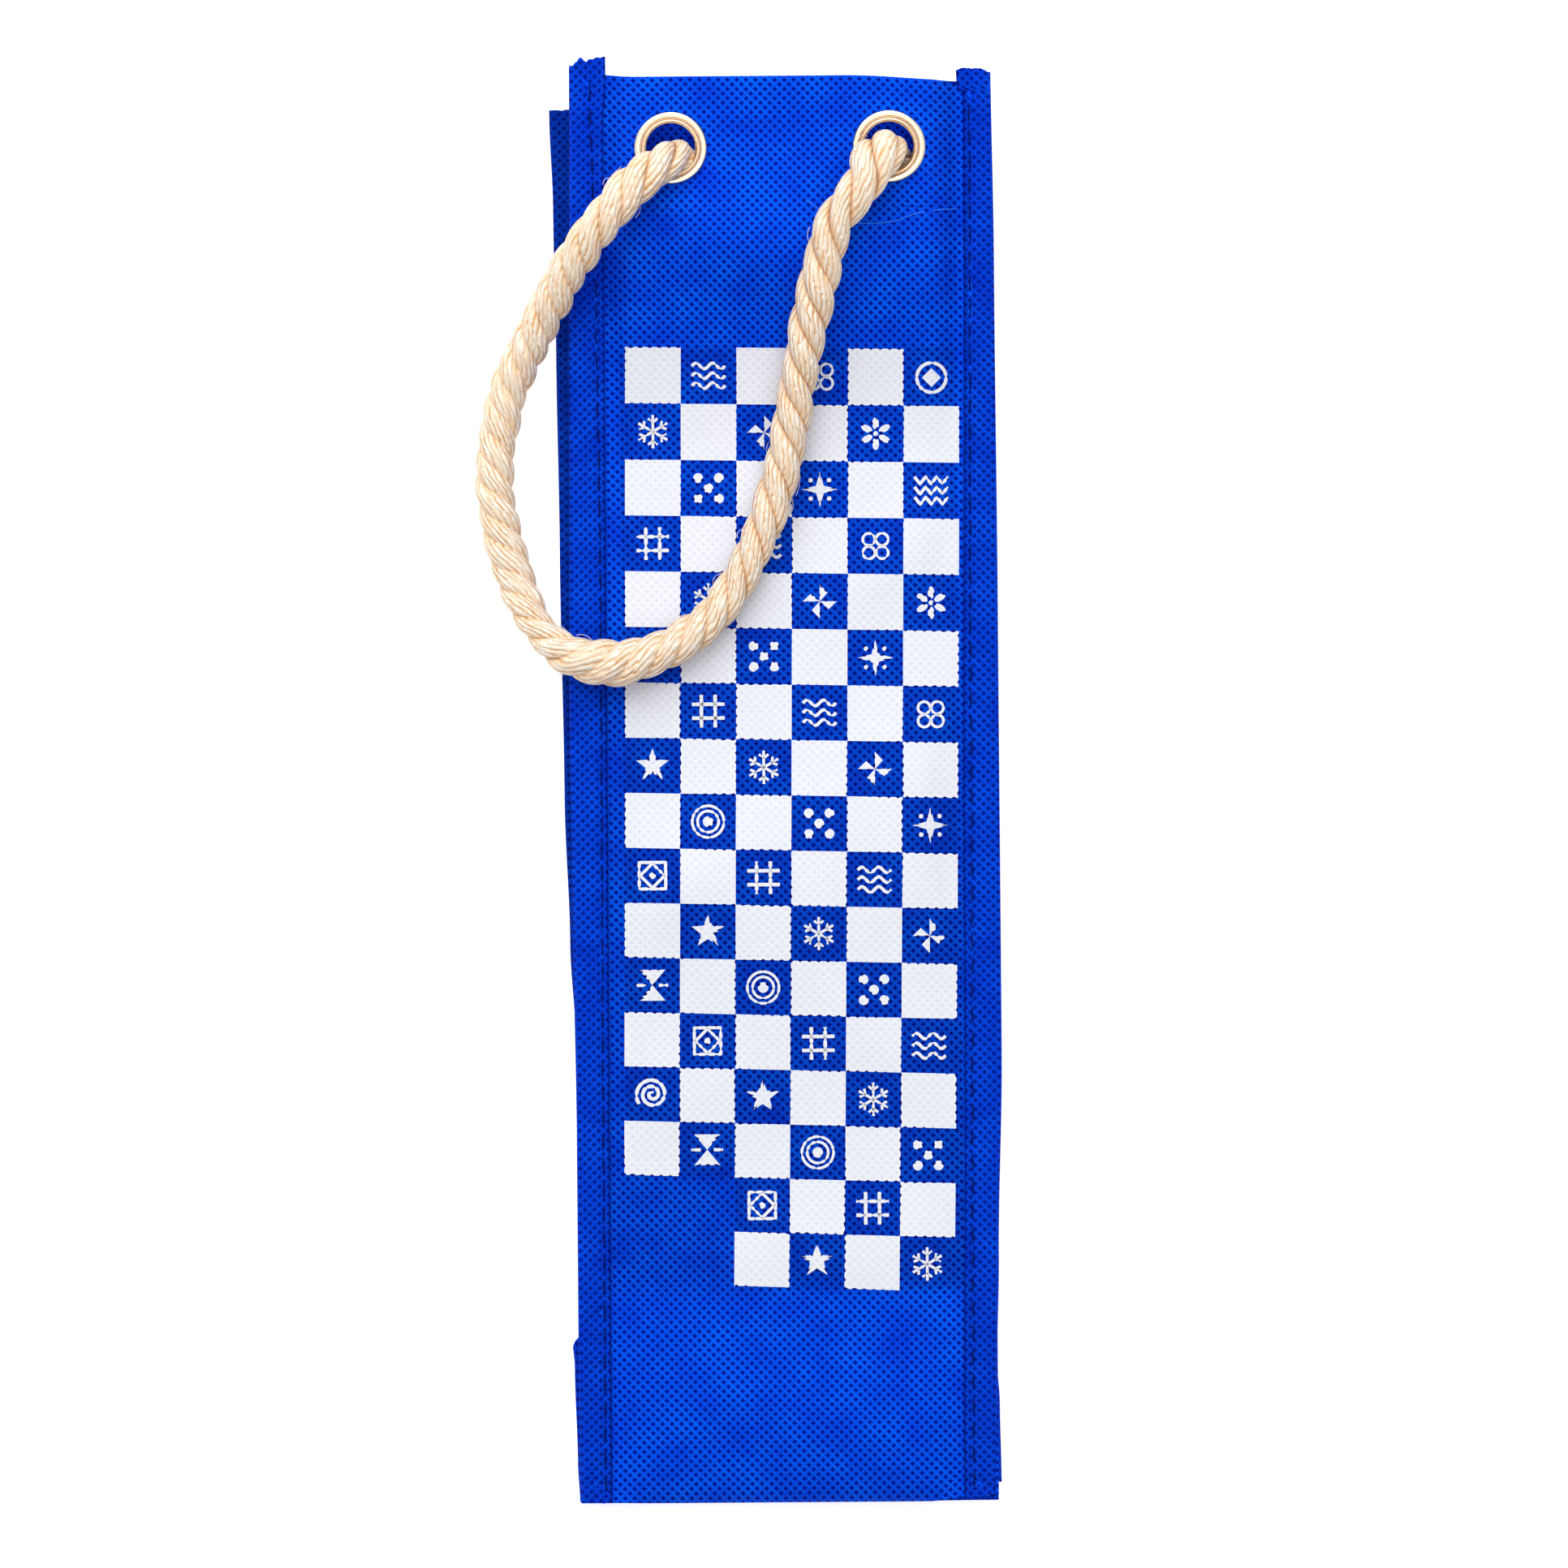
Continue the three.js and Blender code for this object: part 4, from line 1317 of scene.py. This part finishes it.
finish_piece(loose_thread, "loose_hem_thread", LOOSE_THREAD, "front", smooth=80)

# White print: a chequer of squares, with a small ornament in each blue square between them
SQUARE_CELLS = 24
INK_FILM = 0.07
INK_LIFT = PLY / 2 + 0.07
ORNAMENT_LIFT = INK_LIFT + 0.02
# How far a pressed dot draws in the edge of a square and of a filled ornament, and the gap of their points
SQUARE_NICK = 0.34
ORNAMENT_NICK = 0.3
EDGE_GAP = 0.4


def pressed_depth(x, y):
    """The same lattice of pressed dots as the cloth's, 1 in the middle of a dot."""
    p, q = x / DOT_CELL[0] + y / DOT_CELL[1], x / DOT_CELL[0] - y / DOT_CELL[1]
    return ease(0.25 + math.cos(2 * math.pi * p)) * ease(0.25 + math.cos(2 * math.pi * q))


def print_square(column, row):
    """One printed square whose edges draw in where they cross a pressed dot."""
    def place(across, up):
        x, y = print_point(column + across, row + 1 - up)
        nick = SQUARE_NICK * pressed_depth(x, y)
        x += nick * ((across == 0) - (across == 1))
        y += nick * ((up == 0) - (up == 1))
        return (x, y, front_height(x, y) + INK_LIFT), (x, y)

    return cloth_grid(SQUARE_CELLS, SQUARE_CELLS, place)


def cell_is_bare(column, row):
    return column < BARE_CELLS and row >= PRINT_ROWS - BARE_CELLS


# Ornaments are drawn in millimetres round a cell's middle, as discs, polygons and strokes
def polar(angle, reach):
    return reach * math.cos(math.radians(angle)), reach * math.sin(math.radians(angle))


def ellipse(x, y, reach_x, reach_y, turn=0):
    c, s = math.cos(math.radians(turn)), math.sin(math.radians(turn))
    outline = []
    for i in range(20):
        angle = 2 * math.pi * i / 20
        u, v = reach_x * math.cos(angle), reach_y * math.sin(angle)
        outline.append((x + c * u - s * v, y + s * u + c * v))
    return ("fill", outline)


def polygon(corners, radius, inner=None):
    """A regular polygon, or a star when it has an inner radius."""
    count = corners * (2 if inner else 1)
    reaches = [inner if inner and i % 2 else radius for i in range(count)]
    return ("fill", [polar(90 + 360 * i / count, reach) for i, reach in enumerate(reaches)])


def stroke(points, width=0.75):
    return ("stroke", points, width)


def loop(corners, radius, turn=90, width=0.75, middle=(0, 0)):
    """A closed line: a ring when it has many corners."""
    points = []
    for i in range(corners + 1):
        angle = math.radians(turn) + 2 * math.pi * i / corners
        points.append((middle[0] + radius * math.cos(angle), middle[1] + radius * math.sin(angle)))
    return stroke(points, width)


def spoke(angle, start, end, width=0.75):
    return stroke([polar(angle, start), polar(angle, end)], width)


def wavy(y, height, waves, sharp=False):
    """A wavy line across the cell, or a zigzag one."""
    points = []
    for i in range(37):
        t = i / 36 * waves
        bend = 2 * abs(2 * (t % 1) - 1) - 1 if sharp else math.sin(2 * math.pi * t)
        points.append((-4.1 + 8.2 * i / 36, y + height * bend))
    return stroke(points, 0.7)


def spiral(turns, radius, width=0.8):
    return stroke([polar(360 * turns * i / 60, radius * i / 60) for i in range(4, 61)], width)


def around(count, make, turn=90):
    return [make(turn + 360 * i / count) for i in range(count)]


ORNAMENTS = [
    [ellipse(0, 0, 1.4, 1.4), *around(8, lambda a: spoke(a, 2.2, 4.1))],
    [loop(40, 3.6), polygon(4, 2.3)],
    [*around(6, lambda a: ellipse(*polar(a, 2.5), 1.5, 0.8, a)), ellipse(0, 0, 0.6, 0.6)],
    [polygon(4, 4.4, 1.3), *around(4, lambda a: ellipse(*polar(a, 3.2), 0.55, 0.55), 45)],
    [wavy(y, 0.7, 2) for y in (2.4, 0, -2.4)],
    [*around(6, lambda a: spoke(a, 0, 4.1, 0.6)),
     *around(6, lambda a: stroke([polar(a - 20, 3.4), polar(a, 2.3), polar(a + 20, 3.4)], 0.55))],
    [loop(40, 3.9, width=0.6), loop(32, 2.6, width=0.6), ellipse(0, 0, 1.3, 1.3)],
    [loop(4, 4.6, 45, 0.7), loop(4, 3.0, 90, 0.65), ellipse(0, 0, 0.8, 0.8)],
    [spiral(2.6, 4.0)],
    [("fill", [(-2, 3.9), (2, 3.9), (0, 0.6)]), ("fill", [(-4, 0), (-0.2, 0), (-2.1, -3.4)]),
     ("fill", [(0.2, 0), (4, 0), (2.1, -3.4)])],
    [stroke([(-3, -3.6), (0, 0), (3, 3.6)], 0.6),
     *[ellipse(x - 1, x * 1.2 + 1.1, 1.4, 0.55, 110) for x in (-2, 0, 2)],
     *[ellipse(x + 1.2, x * 1.2 - 0.7, 1.4, 0.55, -10) for x in (-2, 0, 2)]],
    [wavy(y, 0.9, 3, sharp=True) for y in (2.5, 0, -2.5)],
    [*around(4, lambda a: loop(24, 1.5, 90, 0.6, polar(a, 2.3)), 45)],
    [*around(4, lambda a: ("fill", [(0, 0), polar(a, 4.2), polar(a - 42, 2.9)]))],
    [ellipse(0, 0, 1.2, 1.2), *around(4, lambda a: ellipse(*polar(a, 3.6), 1.2, 1.2), 45)],
    [*[stroke([(d, -4), (d, 4)], 0.8) for d in (-1.7, 1.7)],
     *[stroke([(-4, d), (4, d)], 0.8) for d in (-1.7, 1.7)]],
    [polygon(5, 4.2, 1.8)],
    [("fill", [(-3.2, 3.8), (3.2, 3.8), (0, 0)]), ("fill", [(-3.2, -3.8), (0, 0), (3.2, -3.8)]),
     stroke([(-3.9, 0), (-1.6, 0)], 0.7), stroke([(1.6, 0), (3.9, 0)], 0.7)],
    [loop(8, 4.1, 22.5, 0.7), *around(8, lambda a: spoke(a, 0.6, 2.8, 0.55), 22.5)],
]


def dense(points, closed):
    """The same line with points no more than a small gap apart."""
    result = []
    ends = points[1:] + points[:1] if closed else points[1:]
    for (x0, y0), (x1, y1) in zip(points, ends):
        count = max(1, math.ceil(math.hypot(x1 - x0, y1 - y0) / EDGE_GAP))
        result += [(x0 + (x1 - x0) * i / count, y0 + (y1 - y0) * i / count) for i in range(count)]
    return result if closed else result + [points[-1]]


def ink_shape(shape, middle, points, faces):
    """Adds one shape of an ornament to the ink, its edge drawn in at the pressed dots."""
    first = len(points)
    if shape[0] == "fill":
        edge = [(middle[0] + x, middle[1] + y) for x, y in dense(shape[1], True)]
        centre = (sum(x for x, y in edge) / len(edge), sum(y for x, y in edge) / len(edge))
        points.append(centre)
        for share in (0.5, 1):
            for x, y in edge:
                pull = share * (1 - (ORNAMENT_NICK * pressed_depth(x, y) if share == 1 else 0))
                points.append((centre[0] + (x - centre[0]) * pull, centre[1] + (y - centre[1]) * pull))
        count = len(edge)
        for i in range(count):
            j = (i + 1) % count
            faces.append((first, first + 1 + i, first + 1 + j))
            faces.append((first + 1 + i, first + 1 + count + i, first + 1 + count + j, first + 1 + j))
        return
    line = dense(shape[1], False)
    closed = math.hypot(line[0][0] - line[-1][0], line[0][1] - line[-1][1]) < 0.01
    line = line[:-1] if closed else line
    count = len(line)
    for i, (x, y) in enumerate(line):
        before = line[i - 1] if i or closed else line[0]
        after = line[(i + 1) % count] if i < count - 1 or closed else line[-1]
        run_x, run_y = after[0] - before[0], after[1] - before[1]
        length = math.hypot(run_x, run_y)
        half = shape[2] / 2 * (1.1 - 0.55 * pressed_depth(middle[0] + x, middle[1] + y))
        across_x, across_y = -run_y / length * half, run_x / length * half
        points.append((middle[0] + x - across_x, middle[1] + y - across_y))
        points.append((middle[0] + x + across_x, middle[1] + y + across_y))
    for i in range(count if closed else count - 1):
        a, b = first + 2 * i, first + 2 * ((i + 1) % count)
        faces.append((a, b, b + 1, a + 1))


squares = []
ink_points, ink_faces = [], []
for row in range(PRINT_ROWS):
    for column in range(PRINT_COLUMNS):
        if cell_is_bare(column, row):
            continue
        if (row + column) % 2 == 0:
            squares.append(print_square(column, row))
            continue
        for shape in ORNAMENTS[(row * 5 + column * 4) % len(ORNAMENTS)]:
            ink_shape(shape, print_point(column + 0.5, row + 0.5), ink_points, ink_faces)
print_squares = thicken(join(squares), INK_FILM)
finish_piece(print_squares, "printed_squares", INK, "front")
ornament_points = [row_point(x, y, front_height(x, y) + ORNAMENT_LIFT) for x, y in ink_points]
ornaments = mesh_object("printed_ornaments", ornament_points, ink_faces)
name_flat_cut(ornaments.data, ink_points)
finish_piece(thicken(ornaments, INK_FILM), "printed_ornaments", INK, "front")

# Soft studio light on a white table, which lies just under the lowest frayed edge
TABLE_DROP = 0.4
bpy.ops.mesh.primitive_plane_add(size=6, location=(0, 0, -TABLE_DROP * MM))
table = bpy.context.object
table.name = "white_table"
table_white, table_tree = new_material("matt_white_table")
table_skin = add_node(table_tree, "BsdfPrincipled", {
    "Base Color": linear("#FFFFFF"), "Roughness": 0.9, "Emission Color": linear("#FFFFFF"),
    "Emission Strength": 0.55,
})[0]
add_node(table_tree, "OutputMaterial", {"Surface": table_skin})
table.data.materials.append(table_white)

# The sky is dim at the horizon and bright overhead
SKY_LOW = 0.2
SKY_HIGH = 1.37
SKY_FALL = 3.0
world = bpy.data.worlds.new("studio")
bpy.context.scene.world = world
world.use_nodes = True
world.node_tree.nodes.clear()
skyward = add_node(world.node_tree, "TexCoord")["Generated"]
upward = add_node(world.node_tree, "SeparateXYZ", {0: skyward})[2]
zenith = add_node(world.node_tree, "Math", {0: upward, 1: SKY_FALL}, operation="POWER")[0]
glow = add_node(world.node_tree, "MapRange", {"Value": zenith, "To Min": SKY_LOW, "To Max": SKY_HIGH})[0]
sky = add_node(world.node_tree, "Background", {"Color": (1, 1, 1, 1), "Strength": glow})[0]
add_node(world.node_tree, "OutputWorld", {"Surface": sky})


def soft_light(name, location, size, power):
    bpy.ops.object.light_add(type="AREA", location=location)
    light = bpy.context.object
    light.name = name
    light.data.shape = "DISK"
    light.data.size = size
    light.data.energy = power
    light.rotation_euler = (-Vector(location)).to_track_quat("-Z", "Y").to_euler()


soft_light("window_light", location=(-0.25, 1.45, 1.4), size=2.3, power=33.5)
bpy.context.scene.view_settings.view_transform = "Standard"
